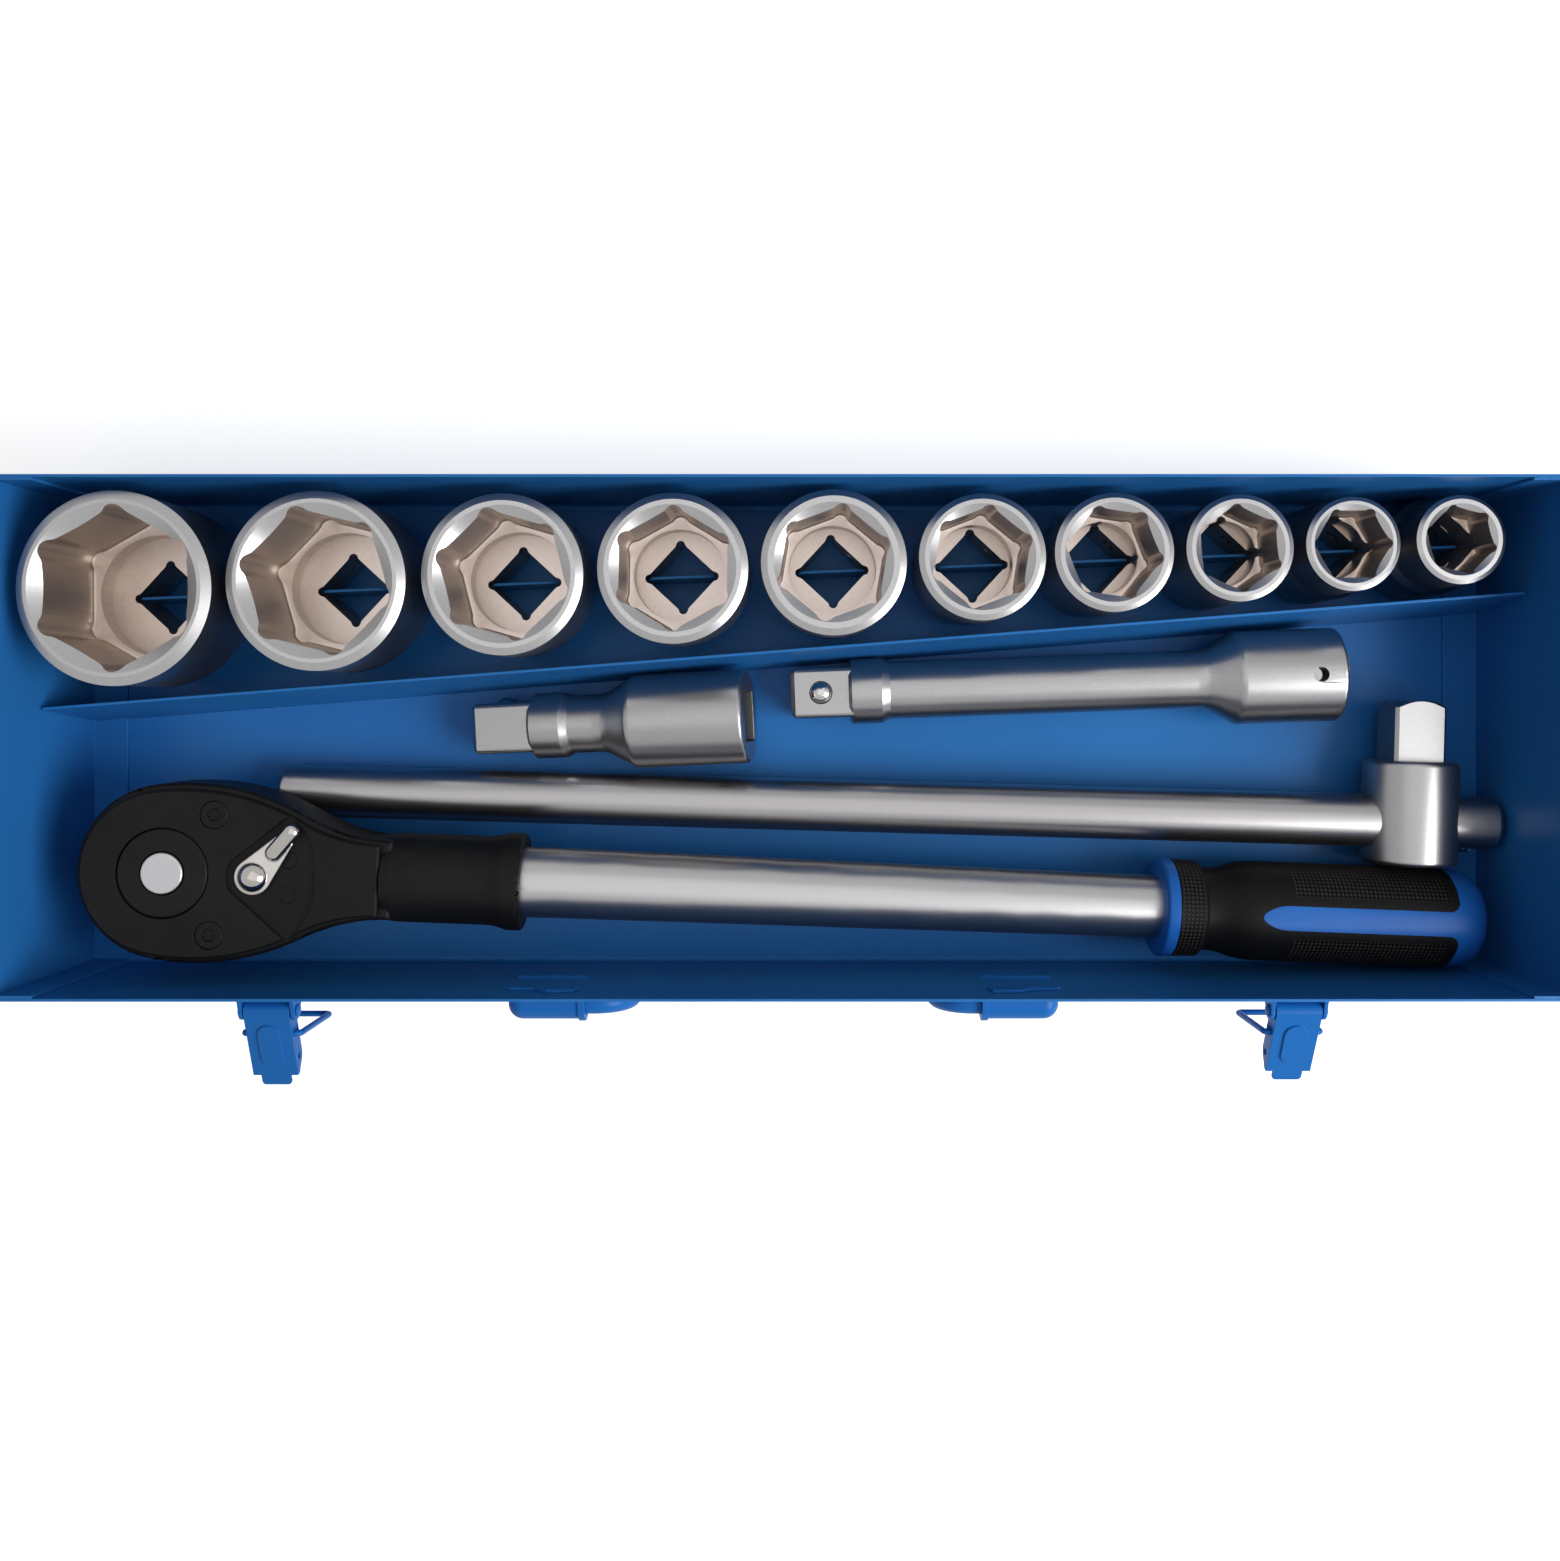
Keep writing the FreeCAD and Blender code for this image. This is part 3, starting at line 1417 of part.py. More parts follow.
def pawl(place):
    """Two-ended pawl that rocks on the lever's shaft; each end has teeth for the gear."""
    pivot = Vector(number("lever_u"), 0, 0)
    low = -number("head_half") + 4.2
    high = number("head_half") - number("cover_thickness") - 0.4
    tip = number("gear_tip")
    root = tip - number("tooth_depth")
    slack = 0.12
    points = []
    for tooth in range(TEETH):
        spin = turned(Z_AXIS, 360.0 / TEETH * tooth)
        for reach, sign in ((tip, -1), (root, -1), (root, 1), (tip, 1)):
            reach += slack
            side = (notch_half(reach) - slack) * sign
            points.append(spin.multVec(Vector(reach, side, low - 1)))
    points.append(points[0])
    cutter = Part.Face(Part.makePolygon(points)).extrude(Vector(0, 0, high - low + 2))
    hub = 7.5
    wing_u, wing_v = 15.5, 13.6
    start = Vector(pivot.x - wing_u, -wing_v, low)
    corner = Vector(pivot.x - 4.0, -wing_v, low)
    crown = Vector(pivot.x + hub, 0, low)
    far_corner = Vector(corner.x, -corner.y, low)
    far_start = Vector(start.x, -start.y, low)
    edges = [
        Part.LineSegment(start, corner).toShape(),
        Part.Arc(corner, crown, far_corner).toShape(),
        Part.LineSegment(far_corner, far_start).toShape(),
        Part.LineSegment(far_start, start).toShape(),
    ]
    blank = Part.Face(Part.Wire(edges)).extrude(Vector(0, 0, high - low))
    shaft = Part.makeCylinder(4.08, high - low + 2, Vector(pivot.x, 0, low - 1))
    blank = blank.cut(shaft)
    # Halfway over, both ends stay clear of the teeth
    blank = blank.cut(Part.makeCylinder(tip + slack, high - low + 2, Vector(0, 0, low - 1)))
    # The teeth are cut by the gear itself as the pawl rocks home to either side
    for share in (1.0, 0.83, 0.67, 0.5, 0.33, 0.17):
        for sign in (-1, 1):
            tool = cutter.copy()
            tool.rotate(pivot, Vector(0, 0, 1), sign * share * number("pawl_turn"))
            blank = blank.cut(tool)
    body = max(blank.Solids, key=lambda solid: solid.Volume)
    body = body.copy()
    body.rotate(pivot, Vector(0, 0, 1), number("pawl_turn"))
    fixed_shape("pawl", Part.Solid(body), place)


def reversing_lever(place):
    body = new_body("reversing_lever")
    top = cell("head_half")
    floor = top - cell("lever_recess") + 0.1
    arm = cell("lever_arm")
    base = cell("lever_base")
    hub = 6.6
    deck = floor + 2.2
    shape = new_sketch(body, "XY_Plane", offset=floor)
    tip_half = 3.4
    root_half = 5.8
    outline(shape, [
        (0.0, -root_half),
        (base - tip_half, -tip_half),
        (base, 0.0, tip_half),
        (base - tip_half, tip_half, tip_half),
        (0.0, root_half),
    ])
    pad(body, shape, deck - floor)
    round_hub = new_sketch(body, "XZ_Plane")
    foot = -top + 2.6
    shaft = 3.98
    dome = 5.2
    crown = 3.0
    outline(round_hub, [
        (0.0, foot),
        (shaft, foot),
        (shaft, floor),
        (hub, floor),
        (hub, deck),
        (dome, deck),
        (0.0, deck + crown, (dome ** 2 + crown ** 2) / (crown * 2)),
    ])
    revolve(body, round_hub, "V_Axis")
    # Raised thumb piece, which overhangs the recess and clears the plate's top
    thumb = new_sketch(body, "XZ_Plane")
    over = top + 0.4
    outline(thumb, [
        (8.5, over),
        (arm - 0.4, over),
        (arm, over + 1.8),
        (arm - 2.6, over + 4.2, 2.6),
        (11.0, over + 2.9),
        (8.5, over + 0.6, 4.0),
    ])
    pad(body, thumb, 6.4, both=True)
    soften(body, "Fillet", 2.2, lambda box: box.ZMin > over.value + 2.5 and box.XLength > 5.0 and box.YLength < 0.1)
    pivot = Placement(Vector(number("lever_u"), 0, 0), turned(Z_AXIS, number("lever_rest")))
    finish(body, "reversing_lever", place.multiply(pivot))


def release_button(place):
    body = new_body("release_button")
    top = cell("head_half") + cell("button_proud")
    cap = cell("button_size") / 2
    stem = cell("plunger_size") / 2
    lock = release_ball_height()
    waist = stem - 1.5
    travel = cell("button_travel")
    profile = new_sketch(body, "XZ_Plane")
    outline(profile, [
        (0.0, lock - 1.8),
        (stem, lock - 1.8),
        (stem, lock),
        (waist, lock + 1.5),
        (waist, lock + travel + 4.5),
        (stem, lock + travel + 6.0),
        (stem, top - CAP_HEIGHT),
        (cap, top - CAP_HEIGHT),
        (cap, top - 0.8),
        (cap - 0.8, top, 0.8),
        (0.0, top),
    ])
    revolve(body, profile, "V_Axis")
    finish(body, "release_button", place)


def release_spring(place):
    """Spring between the gear's well and the button's cap."""
    well_floor = number("head_half") - WELL_DEPTH
    cap_under = number("head_half") + number("button_proud") - CAP_HEIGHT
    wire = 1.2
    low = well_floor + wire / 2 + 0.05
    high = cap_under - wire / 2 - 0.05
    coil_spring("release_spring", 6.2, wire, low, high, 4, place)


def release_ball(place):
    radius = cell("release_ball") / 2
    reach = number("drive_square") / 2 + number("release_ball_proud") - number("release_ball") / 2
    spot = place.multVec(Vector(0, reach, release_ball_height().value))
    ball("release_ball", radius, Placement(spot, place.Rotation))


def handle_tube(place):
    body = new_body("handle_tube")
    big = cell("tube_head_end") / 2
    small = cell("tube_grip_end") / 2
    start = cell("neck_end") - 37.8
    end = cell("grip_end") - 16.0
    bore = small - 3.0
    profile = new_sketch(body, "XZ_Plane")
    outline(profile, [
        (start, 0.0),
        (start + 6.0, 0.0),
        (start + 6.0, bore),
        (end, bore),
        (end, small),
        (cell("grip_start"), small),
        (cell("neck_end") + 2.0, big),
        (start, big),
    ])
    revolve(body, profile)
    finish(body, "handle_tube", place)


def grip_shape(name):
    """The grip's whole outside with the tube's bore, before it is split in two plastics."""
    body = new_body(name)
    start = cell("grip_start")
    end = cell("grip_end")
    big = cell("grip_size") / 2
    waist = cell("grip_waist") / 2
    bore = cell("tube_grip_end") / 2 + 0.02
    collar_end = start + cell("grip_collar")
    tube_end = end - 15.8
    profile = new_sketch(body, "XZ_Plane")
    outline(profile, [
        (start, bore),
        (tube_end, bore),
        (tube_end, 0.0),
        (end, 0.0),
        (end - 2.93, 11.5, 24.0),
        (end - 10.0, big - 0.6, 9.7),
        (end - 22.0, big, 120.0),
        (start + 36.0, big),
        (start + 25.5, waist + 1.1, 32.0),
        (start + 16.0, waist, -20.0),
        (start + 14.4, big - 0.8),
        (collar_end + 0.6, big - 0.5),
        (collar_end - 0.4, big - 0.3),
        (start + 1.4, big - 0.3),
        (start, big - 1.7, 1.4),
    ])
    revolve(body, profile)
    return body


def stripe_blank():
    """Where the inner plastic shows: two stripes that widen into the end cap."""
    body = new_body("grip_stripes")
    start = cell("stripe_start")
    half = cell("stripe_width") / 2
    end = cell("grip_end")
    # Pointed tip of two tangent arcs, then straight sides up to the square ends of the black lobes
    nose = 3.0
    meet = math.radians(32.0)
    nose_u = nose - nose * math.sin(meet)
    nose_v = nose * math.cos(meet)
    rest = half - nose_v
    run = rest / math.tan(meet / 2)
    flank = rest / (1 - math.cos(meet))
    lobe_end = end - 9.5
    corner = 4.0
    shape = new_sketch(body, "XY_Plane")
    outline(shape, [
        (start, 0.0, nose),
        (start + nose_u, -nose_v, nose),
        (start + nose_u + run, -half, flank),
        (lobe_end - corner, -half),
        (lobe_end, -half - corner, -corner),
        (lobe_end, -20.0),
        (end + 5.0, -20.0),
        (end + 5.0, 20.0),
        (lobe_end, 20.0),
        (lobe_end, half + corner),
        (lobe_end - corner, half, -corner),
        (start + nose_u + run, half),
        (start + nose_u, nose_v, flank),
    ])
    pad(body, shape, 60.0, both=True)
    return body


def grip(place):
    whole = grip_shape("grip_whole")
    stripes = stripe_blank()
    doc.recompute()
    shown = doc.addObject("Part::MultiCommon", "grip_shown")
    shown.Shapes = [whole, stripes]
    inner = new_body("grip_inner")
    profile = new_sketch(inner, "XZ_Plane")
    bore = cell("tube_grip_end") / 2 + 0.02
    core = cell("grip_core") / 2
    collar_end = cell("grip_start") + cell("grip_collar")
    outline(profile, [
        (cell("grip_start"), bore),
        (cell("grip_end") - 15.8, bore),
        (cell("grip_end") - 15.8, core),
        (collar_end, core),
        (collar_end, 40.0),
        (cell("grip_start"), 40.0),
    ])
    revolve(inner, profile)
    middle = doc.addObject("Part::MultiCommon", "grip_middle")
    middle.Shapes = [whole, inner]
    core_form = doc.addObject("Part::MultiFuse", "grip_core_form")
    core_form.Shapes = [shown, middle]
    core_form.Refine = True
    sleeve_form = doc.addObject("Part::Cut", "grip_sleeve_form")
    sleeve_form.Base = whole
    sleeve_form.Tool = core_form
    doc.recompute()
    fixed_shape("grip_core", core_form.Shape.copy(), place)
    fixed_shape("grip_sleeve", sleeve_form.Shape.copy(), place)


def build():
    case_trough()
    end_panel("left_end_panel", -1)
    end_panel("right_end_panel", 1)
    socket_tray()
    handle_bracket("left_handle_bracket", -1)
    handle_bracket("right_handle_bracket", 1)
    carry_handle()
    for side, sign in (("left", -1), ("right", 1)):
        middle_x = number("latch_x") * sign
        latch_base(f"{side}_latch_base", middle_x)
        latch_pin(f"{side}_latch_pin", middle_x)
        lever = latch_lever(f"{side}_latch_lever", middle_x, number(f"{side}_lever_tilt"))
        latch_bail(f"{side}_latch_bail", lever)
    for row in SOCKETS:
        wrench_socket(row)
    extension("long_extension", cell("long_length"), cell("long_head_length"), (2.7, 15.4), 2.06, 0.0)
    extension("short_extension", cell("short_length"), cell("short_head_length"), (-117.5, 1.8), 2.9, -90.0)
    bar = t_handle_place()
    sliding_bar(bar)
    t_head(bar)
    place = ratchet_place()
    ratchet_housing(place)
    cover_plate(place)
    cover_screws(place)
    drive_gear(place)
    pawl(place)
    reversing_lever(place)
    release_button(place)
    release_spring(place)
    release_ball(place)
    handle_tube(place)
    grip(place)


def write_parts():
    doc.recompute()
    for item in doc.Objects:
        if "Invalid" in item.State or "Error" in item.State:
            raise RuntimeError(f"{item.Name} failed: {item.State}")
    for name, item in NODES.items():
        if item.Shape.isNull() or not item.Shape.isValid():
            raise RuntimeError(f"{name} has no valid shape")
    os.makedirs("parts", exist_ok=True)
    for name, item in NODES.items():
        item.Shape.exportStep(f"parts/{name}.step")
        print(f"{name}: {len(item.Shape.Solids)} solid, {item.Shape.Volume / 1000:.2f} cm3")


build()
write_parts()
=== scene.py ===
import json
import math

import bpy
from mathutils import Matrix, Vector


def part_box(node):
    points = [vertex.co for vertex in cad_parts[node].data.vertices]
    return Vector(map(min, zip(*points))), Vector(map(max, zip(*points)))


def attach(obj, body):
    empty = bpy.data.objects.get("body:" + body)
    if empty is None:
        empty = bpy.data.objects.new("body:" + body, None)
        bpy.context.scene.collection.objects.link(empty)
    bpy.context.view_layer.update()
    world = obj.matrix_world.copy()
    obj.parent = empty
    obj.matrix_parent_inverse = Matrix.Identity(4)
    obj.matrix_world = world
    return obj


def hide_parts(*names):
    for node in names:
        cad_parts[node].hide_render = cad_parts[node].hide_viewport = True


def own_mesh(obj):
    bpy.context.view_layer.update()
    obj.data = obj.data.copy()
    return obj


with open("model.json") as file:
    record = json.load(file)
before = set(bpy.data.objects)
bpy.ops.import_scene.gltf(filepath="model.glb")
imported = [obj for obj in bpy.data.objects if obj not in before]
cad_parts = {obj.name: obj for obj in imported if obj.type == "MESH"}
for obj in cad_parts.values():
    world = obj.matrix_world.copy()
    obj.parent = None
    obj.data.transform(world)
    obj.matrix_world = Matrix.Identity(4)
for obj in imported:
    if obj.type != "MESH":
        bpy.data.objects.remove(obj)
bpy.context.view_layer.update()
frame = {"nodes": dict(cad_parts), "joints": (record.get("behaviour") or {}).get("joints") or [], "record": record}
nodes = frame["nodes"]
joints = {joint["name"]: joint for joint in frame["joints"]}
mm = 0.001
fromMm = Matrix.Scale(mm, 4)  # pieces are drawn in millimetres and set down in metres
print("frame loaded:", len(nodes), "nodes")


def linearColor(hexText):
    channels = [int(hexText[i:i + 2], 16) / 255 for i in (1, 3, 5)]
    return [c / 12.92 if c <= 0.04045 else ((c + 0.055) / 1.055) ** 2.4 for c in channels] + [1.0]


def dimmedColor(hexText, share):
    return [c * share for c in linearColor(hexText)[:3]] + [1.0]


def addNode(tree, kind, inputs=None, stops=(), **settings):
    item = tree.nodes.new("ShaderNode" + kind)
    for word, value in settings.items():
        setattr(item, word, value)
    for word, value in (inputs or {}).items():
        if isinstance(value, bpy.types.NodeSocket):
            tree.links.new(value, item.inputs[word])
        else:
            item.inputs[word].default_value = value
    if stops:
        for element, (spot, color) in zip(item.color_ramp.elements, stops):
            element.position = spot
            element.color = color
    return item


def newMaterial(name):
    material = bpy.data.materials.new(name)
    material.use_nodes = True
    tree = material.node_tree
    tree.nodes.clear()
    shader = addNode(tree, "BsdfPrincipled")
    addNode(tree, "OutputMaterial", {"Surface": shader.outputs["BSDF"]})
    return material, tree, shader


# The tools' own directions, read from their joints
def axisOf(name):
    return Vector(joints[name]["axis"]).normalized()


def placeFrom(origin, along, up):
    across = up.cross(along).normalized()
    turn = Matrix((along, across, along.cross(across))).transposed()
    return Matrix.Translation(origin) @ turn.to_4x4()


upward = Vector((0, 0, 1))
ratchetAt = Vector(joints["drive_turn"]["pos_m"])
leverReach = Vector(joints["reversing_lever_turn"]["pos_m"]) - ratchetAt
ratchetPlace = placeFrom(ratchetAt, leverReach.normalized(), axisOf("drive_turn"))
barAt = Vector(joints["t_head_slide"].get("pos_m", (0, 0, 0)))
barPlace = placeFrom(barAt, axisOf("t_head_slide"), upward)


def localCoords(tree, place):
    coords = addNode(tree, "TexCoord").outputs["Object"]
    return addNode(tree, "Mapping", {
        "Vector": coords,
        "Location": place.to_translation(),
        "Rotation": place.to_euler(),
    }, vector_type="TEXTURE").outputs["Vector"]


# Powder-coated sheet steel: a thick glossy paint film with a faint orange peel
def powderCoat(name, deep, light, roughness):
    film = {"drift": 90 * mm, "peel": 2.2 * mm, "peelHeight": 0.012 * mm, "smear": 70 * mm}
    material, tree, shader = newMaterial(name)
    coords = addNode(tree, "TexCoord").outputs["Object"]
    drift = addNode(tree, "TexNoise", {"Vector": coords, "Scale": 1 / film["drift"], "Detail": 3.0})
    tone = addNode(tree, "ValToRGB", {"Fac": drift.outputs["Fac"]},
                   stops=[(0.1, linearColor(deep)), (0.9, linearColor(light))])
    smear = addNode(tree, "TexNoise", {"Vector": coords, "Scale": 1 / film["smear"], "Detail": 1.0})
    rough = addNode(tree, "MapRange", {"Value": smear.outputs["Fac"], "To Min": roughness - 0.03,
                                       "To Max": roughness + 0.04})
    peel = addNode(tree, "TexNoise", {"Vector": coords, "Scale": 1 / film["peel"], "Detail": 1.0})
    bump = addNode(tree, "Bump", {"Height": peel.outputs["Fac"], "Strength": 0.15,
                                  "Distance": film["peelHeight"]})
    tree.links.new(tone.outputs["Color"], shader.inputs["Base Color"])
    tree.links.new(rough.outputs["Result"], shader.inputs["Roughness"])
    tree.links.new(bump.outputs["Normal"], shader.inputs["Normal"])
    shader.inputs["IOR"].default_value = 1.5
    shader.inputs["Specular IOR Level"].default_value = 0.14
    return material


# Satin chrome: bead-blasted steel under bright plating, a soft even grain with a broad highlight
def satinChrome(name, color, roughness):
    grain = {"size": 0.7 * mm, "height": 0.02 * mm, "cloud": 25 * mm}  # coarser than blast grit, to show
    material, tree, shader = newMaterial(name)
    coords = addNode(tree, "TexCoord").outputs["Object"]
    speck = addNode(tree, "TexNoise", {"Vector": coords, "Scale": 1 / grain["size"], "Detail": 2.0})
    cloud = addNode(tree, "TexNoise", {"Vector": coords, "Scale": 1 / grain["cloud"], "Detail": 0.0})
    rough = addNode(tree, "MapRange", {"Value": cloud.outputs["Fac"], "To Min": roughness - 0.04,
                                       "To Max": roughness + 0.04})
    tone = addNode(tree, "ValToRGB", {"Fac": speck.outputs["Fac"]}, stops=[
        (0.25, dimmedColor(color, 0.88)), (0.75, linearColor(color))])
    bump = addNode(tree, "Bump", {"Height": speck.outputs["Fac"], "Strength": 0.08, "Distance": grain["height"]})
    tree.links.new(tone.outputs["Color"], shader.inputs["Base Color"])
    tree.links.new(rough.outputs["Result"], shader.inputs["Roughness"])
    tree.links.new(bump.outputs["Normal"], shader.inputs["Normal"])
    shader.inputs["Metallic"].default_value = 1.0
    return material


# Nickel strike in a socket, where the chrome doesn't reach: warm grey, with the broach's lines down the walls
def bareNickel(name, deep, light, roughness, stretch):
    tool = {"line": 1.6 * mm}
    material, tree, shader = newMaterial(name)
    coords = addNode(tree, "TexCoord").outputs["Object"]
    lines = addNode(tree, "Mapping", {"Vector": coords, "Scale": (1.0, 1.0, stretch)}).outputs["Vector"]
    streak = addNode(tree, "TexNoise", {"Vector": lines, "Scale": 1 / tool["line"], "Detail": 1.0})
    tone = addNode(tree, "ValToRGB", {"Fac": streak.outputs["Fac"]},
                   stops=[(0.2, linearColor(deep)), (0.8, linearColor(light))])
    rough = addNode(tree, "MapRange", {"Value": streak.outputs["Fac"], "To Min": roughness - 0.03,
                                       "To Max": roughness + 0.03})
    tree.links.new(tone.outputs["Color"], shader.inputs["Base Color"])
    tree.links.new(rough.outputs["Result"], shader.inputs["Roughness"])
    shader.inputs["Metallic"].default_value = 1.0
    return material


# Ground and chromed bar: fine rings from centreless grinding, a clean lengthwise highlight
def groundChrome(name, color, roughness, place):
    grind = {"ring": 1.1 * mm, "length": 40 * mm}  # rings drawn wide enough to show
    material, tree, shader = newMaterial(name)
    coords = localCoords(tree, place)
    lines = addNode(tree, "Mapping", {"Vector": coords, "Scale": (1 / grind["ring"], 1 / grind["length"],
                                                                  1 / grind["length"])}).outputs["Vector"]
    ring = addNode(tree, "TexNoise", {"Vector": lines, "Scale": 1.0, "Detail": 3.0})
    tone = addNode(tree, "ValToRGB", {"Fac": ring.outputs["Fac"]}, stops=[
        (0.2, dimmedColor(color, 0.97)), (0.8, linearColor(color))])
    rough = addNode(tree, "MapRange", {"Value": ring.outputs["Fac"], "To Min": roughness - 0.02,
                                       "To Max": roughness + 0.02})
    tree.links.new(tone.outputs["Color"], shader.inputs["Base Color"])
    tree.links.new(rough.outputs["Result"], shader.inputs["Roughness"])
    shader.inputs["Metallic"].default_value = 1.0
    return material


# Black phosphated steel: dull, dark and slightly grainy, with grey where it catches the light
def blackPhosphate(name, dark, pale, roughness):
    coat = {"grit": 0.8 * mm, "height": 0.03 * mm, "cloud": 20 * mm}
    material, tree, shader = newMaterial(name)
    coords = addNode(tree, "TexCoord").outputs["Object"]
    grit = addNode(tree, "TexNoise", {"Vector": coords, "Scale": 1 / coat["grit"], "Detail": 3.0})
    cloud = addNode(tree, "TexNoise", {"Vector": coords, "Scale": 1 / coat["cloud"], "Detail": 4.0})
    tone = addNode(tree, "ValToRGB", {"Fac": cloud.outputs["Fac"]},
                   stops=[(0.35, linearColor(dark)), (0.7, linearColor(pale))])
    rough = addNode(tree, "MapRange", {"Value": grit.outputs["Fac"], "From Min": 0.3, "From Max": 0.7,
                                       "To Min": roughness - 0.06, "To Max": roughness + 0.06})
    bump = addNode(tree, "Bump", {"Height": grit.outputs["Fac"], "Strength": 0.4, "Distance": coat["height"]})
    tree.links.new(tone.outputs["Color"], shader.inputs["Base Color"])
    tree.links.new(rough.outputs["Result"], shader.inputs["Roughness"])
    tree.links.new(bump.outputs["Normal"], shader.inputs["Normal"])
    shader.inputs["Specular IOR Level"].default_value = 0.14
    return material


# Polished steel or chrome: mirror-like with faint smudges
def polishedSteel(name, color, roughness):
    polish = {"smudge": 3.0 * mm}
    material, tree, shader = newMaterial(name)
    coords = addNode(tree, "TexCoord").outputs["Object"]
    smudge = addNode(tree, "TexNoise", {"Vector": coords, "Scale": 1 / polish["smudge"], "Detail": 3.0})
    tone = addNode(tree, "ValToRGB", {"Fac": smudge.outputs["Fac"]}, stops=[
        (0.3, dimmedColor(color, 0.92)), (0.6, linearColor(color))])
    rough = addNode(tree, "MapRange", {"Value": smudge.outputs["Fac"], "From Min": 0.3, "From Max": 0.7,
                                       "To Min": roughness, "To Max": roughness + 0.06})
    tree.links.new(tone.outputs["Color"], shader.inputs["Base Color"])
    tree.links.new(rough.outputs["Result"], shader.inputs["Roughness"])
    shader.inputs["Metallic"].default_value = 1.0
    return material


# Soft moulded grip rubber: deep black with low sheen, fine studs in a band and in patches beside the stripes, with
# a painted highlight on the stud tops and painted shade in the grooves
def gripRubber(name, place):
    # The studs' deep and light tones are painted shade in the grooves and a painted highlight on the tops
    studs = {"pitch": 1.55 * mm, "radius": 18.0 * mm, "height": 0.4 * mm, "band": (367.2, 375.2),
             "patch": (409.0, 466.5), "clearOfStripe": 0.42, "deep": "#020202", "light": "#35322f"}
    rubber = {"grain": 0.9 * mm, "deep": "#0a0a0b", "light": "#131314"}
    material, tree, shader = newMaterial(name)
    coords = localCoords(tree, place)
    spot = addNode(tree, "SeparateXYZ", {"Vector": coords})
    along = spot.outputs["X"]
    turn = addNode(tree, "Math", {0: spot.outputs["Y"], 1: spot.outputs["Z"]},
                   operation="ARCTAN2").outputs["Value"]
    waves = []
    for source, turns in ((turn, round(2 * math.pi * studs["radius"] / studs["pitch"])),
                          (along, 2 * math.pi / studs["pitch"])):
        cycle = addNode(tree, "Math", {0: source, 1: turns}, operation="MULTIPLY")
        waves.append(addNode(tree, "Math", {0: cycle.outputs["Value"]}, operation="COSINE").outputs["Value"])
    both = addNode(tree, "Math", {0: waves[0], 1: waves[1]}, operation="ADD")
    raised = addNode(tree, "MapRange", {"Value": both.outputs["Value"], "From Min": 0.0, "From Max": 0.9})
    zones = []
    for low, high in (studs["band"], studs["patch"]):
        rise = addNode(tree, "Math", {0: along, 1: low * mm}, operation="GREATER_THAN")
        fall = addNode(tree, "Math", {0: along, 1: high * mm}, operation="LESS_THAN")
        zones.append(addNode(tree, "Math", {0: rise.outputs["Value"], 1: fall.outputs["Value"]},
                             operation="MULTIPLY").outputs["Value"])
    sideways = addNode(tree, "Math", {0: addNode(tree, "Math", {0: turn}, operation="SINE").outputs["Value"]},
                       operation="ABSOLUTE")
    aside = addNode(tree, "Math", {0: sideways.outputs["Value"], 1: studs["clearOfStripe"]},
                    operation="GREATER_THAN")
    patch = addNode(tree, "Math", {0: zones[1], 1: aside.outputs["Value"]}, operation="MULTIPLY")
    zone = addNode(tree, "Math", {0: zones[0], 1: patch.outputs["Value"]}, operation="MAXIMUM").outputs["Value"]
    stud = addNode(tree, "Math", {0: raised.outputs["Result"], 1: zone}, operation="MULTIPLY").outputs["Value"]
    skin = addNode(tree, "TexNoise", {"Vector": coords, "Scale": 1 / rubber["grain"], "Detail": 2.0})
    smooth = addNode(tree, "ValToRGB", {"Fac": skin.outputs["Fac"]},
                     stops=[(0.3, linearColor(rubber["deep"])), (0.75, linearColor(rubber["light"]))])
    # Painted light: stud height turns the groove darker and the top lighter, beside the real bump
    paintedStudShading = addNode(tree, "ValToRGB", {"Fac": stud},
                      stops=[(0.2, linearColor(studs["deep"])), (0.9, linearColor(studs["light"]))])
    tone = addNode(tree, "Mix", {"Factor": zone, "A": smooth.outputs["Color"], "B": paintedStudShading.outputs["Color"]},
                   data_type="RGBA")
    rough = addNode(tree, "MapRange", {"Value": stud, "To Min": 0.5, "To Max": 0.62})
    bump = addNode(tree, "Bump", {"Height": stud, "Strength": 1.0, "Distance": studs["height"]})
    tree.links.new(tone.outputs["Result"], shader.inputs["Base Color"])
    tree.links.new(rough.outputs["Result"], shader.inputs["Roughness"])
    tree.links.new(bump.outputs["Normal"], shader.inputs["Normal"])
    shader.inputs["Specular IOR Level"].default_value = 0.1
    return material


# Moulded polypropylene: smooth hard blue plastic with a low sheen
def mouldedPlastic(name, deep, light):
    mould = {"flow": 30 * mm, "skin": 0.8 * mm, "height": 0.02 * mm}
    material, tree, shader = newMaterial(name)
    coords = addNode(tree, "TexCoord").outputs["Object"]
    flow = addNode(tree, "TexNoise", {"Vector": coords, "Scale": 1 / mould["flow"], "Detail": 2.0})
    skin = addNode(tree, "TexNoise", {"Vector": coords, "Scale": 1 / mould["skin"], "Detail": 2.0})
    tone = addNode(tree, "ValToRGB", {"Fac": flow.outputs["Fac"]},
                   stops=[(0.3, linearColor(deep)), (0.7, linearColor(light))])
    bump = addNode(tree, "Bump", {"Height": skin.outputs["Fac"], "Strength": 0.15, "Distance": mould["height"]})
    tree.links.new(tone.outputs["Color"], shader.inputs["Base Color"])
    tree.links.new(bump.outputs["Normal"], shader.inputs["Normal"])
    shader.inputs["Roughness"].default_value = 0.34
    shader.inputs["IOR"].default_value = 1.49
    shader.inputs["Specular IOR Level"].default_value = 0.15
    return material


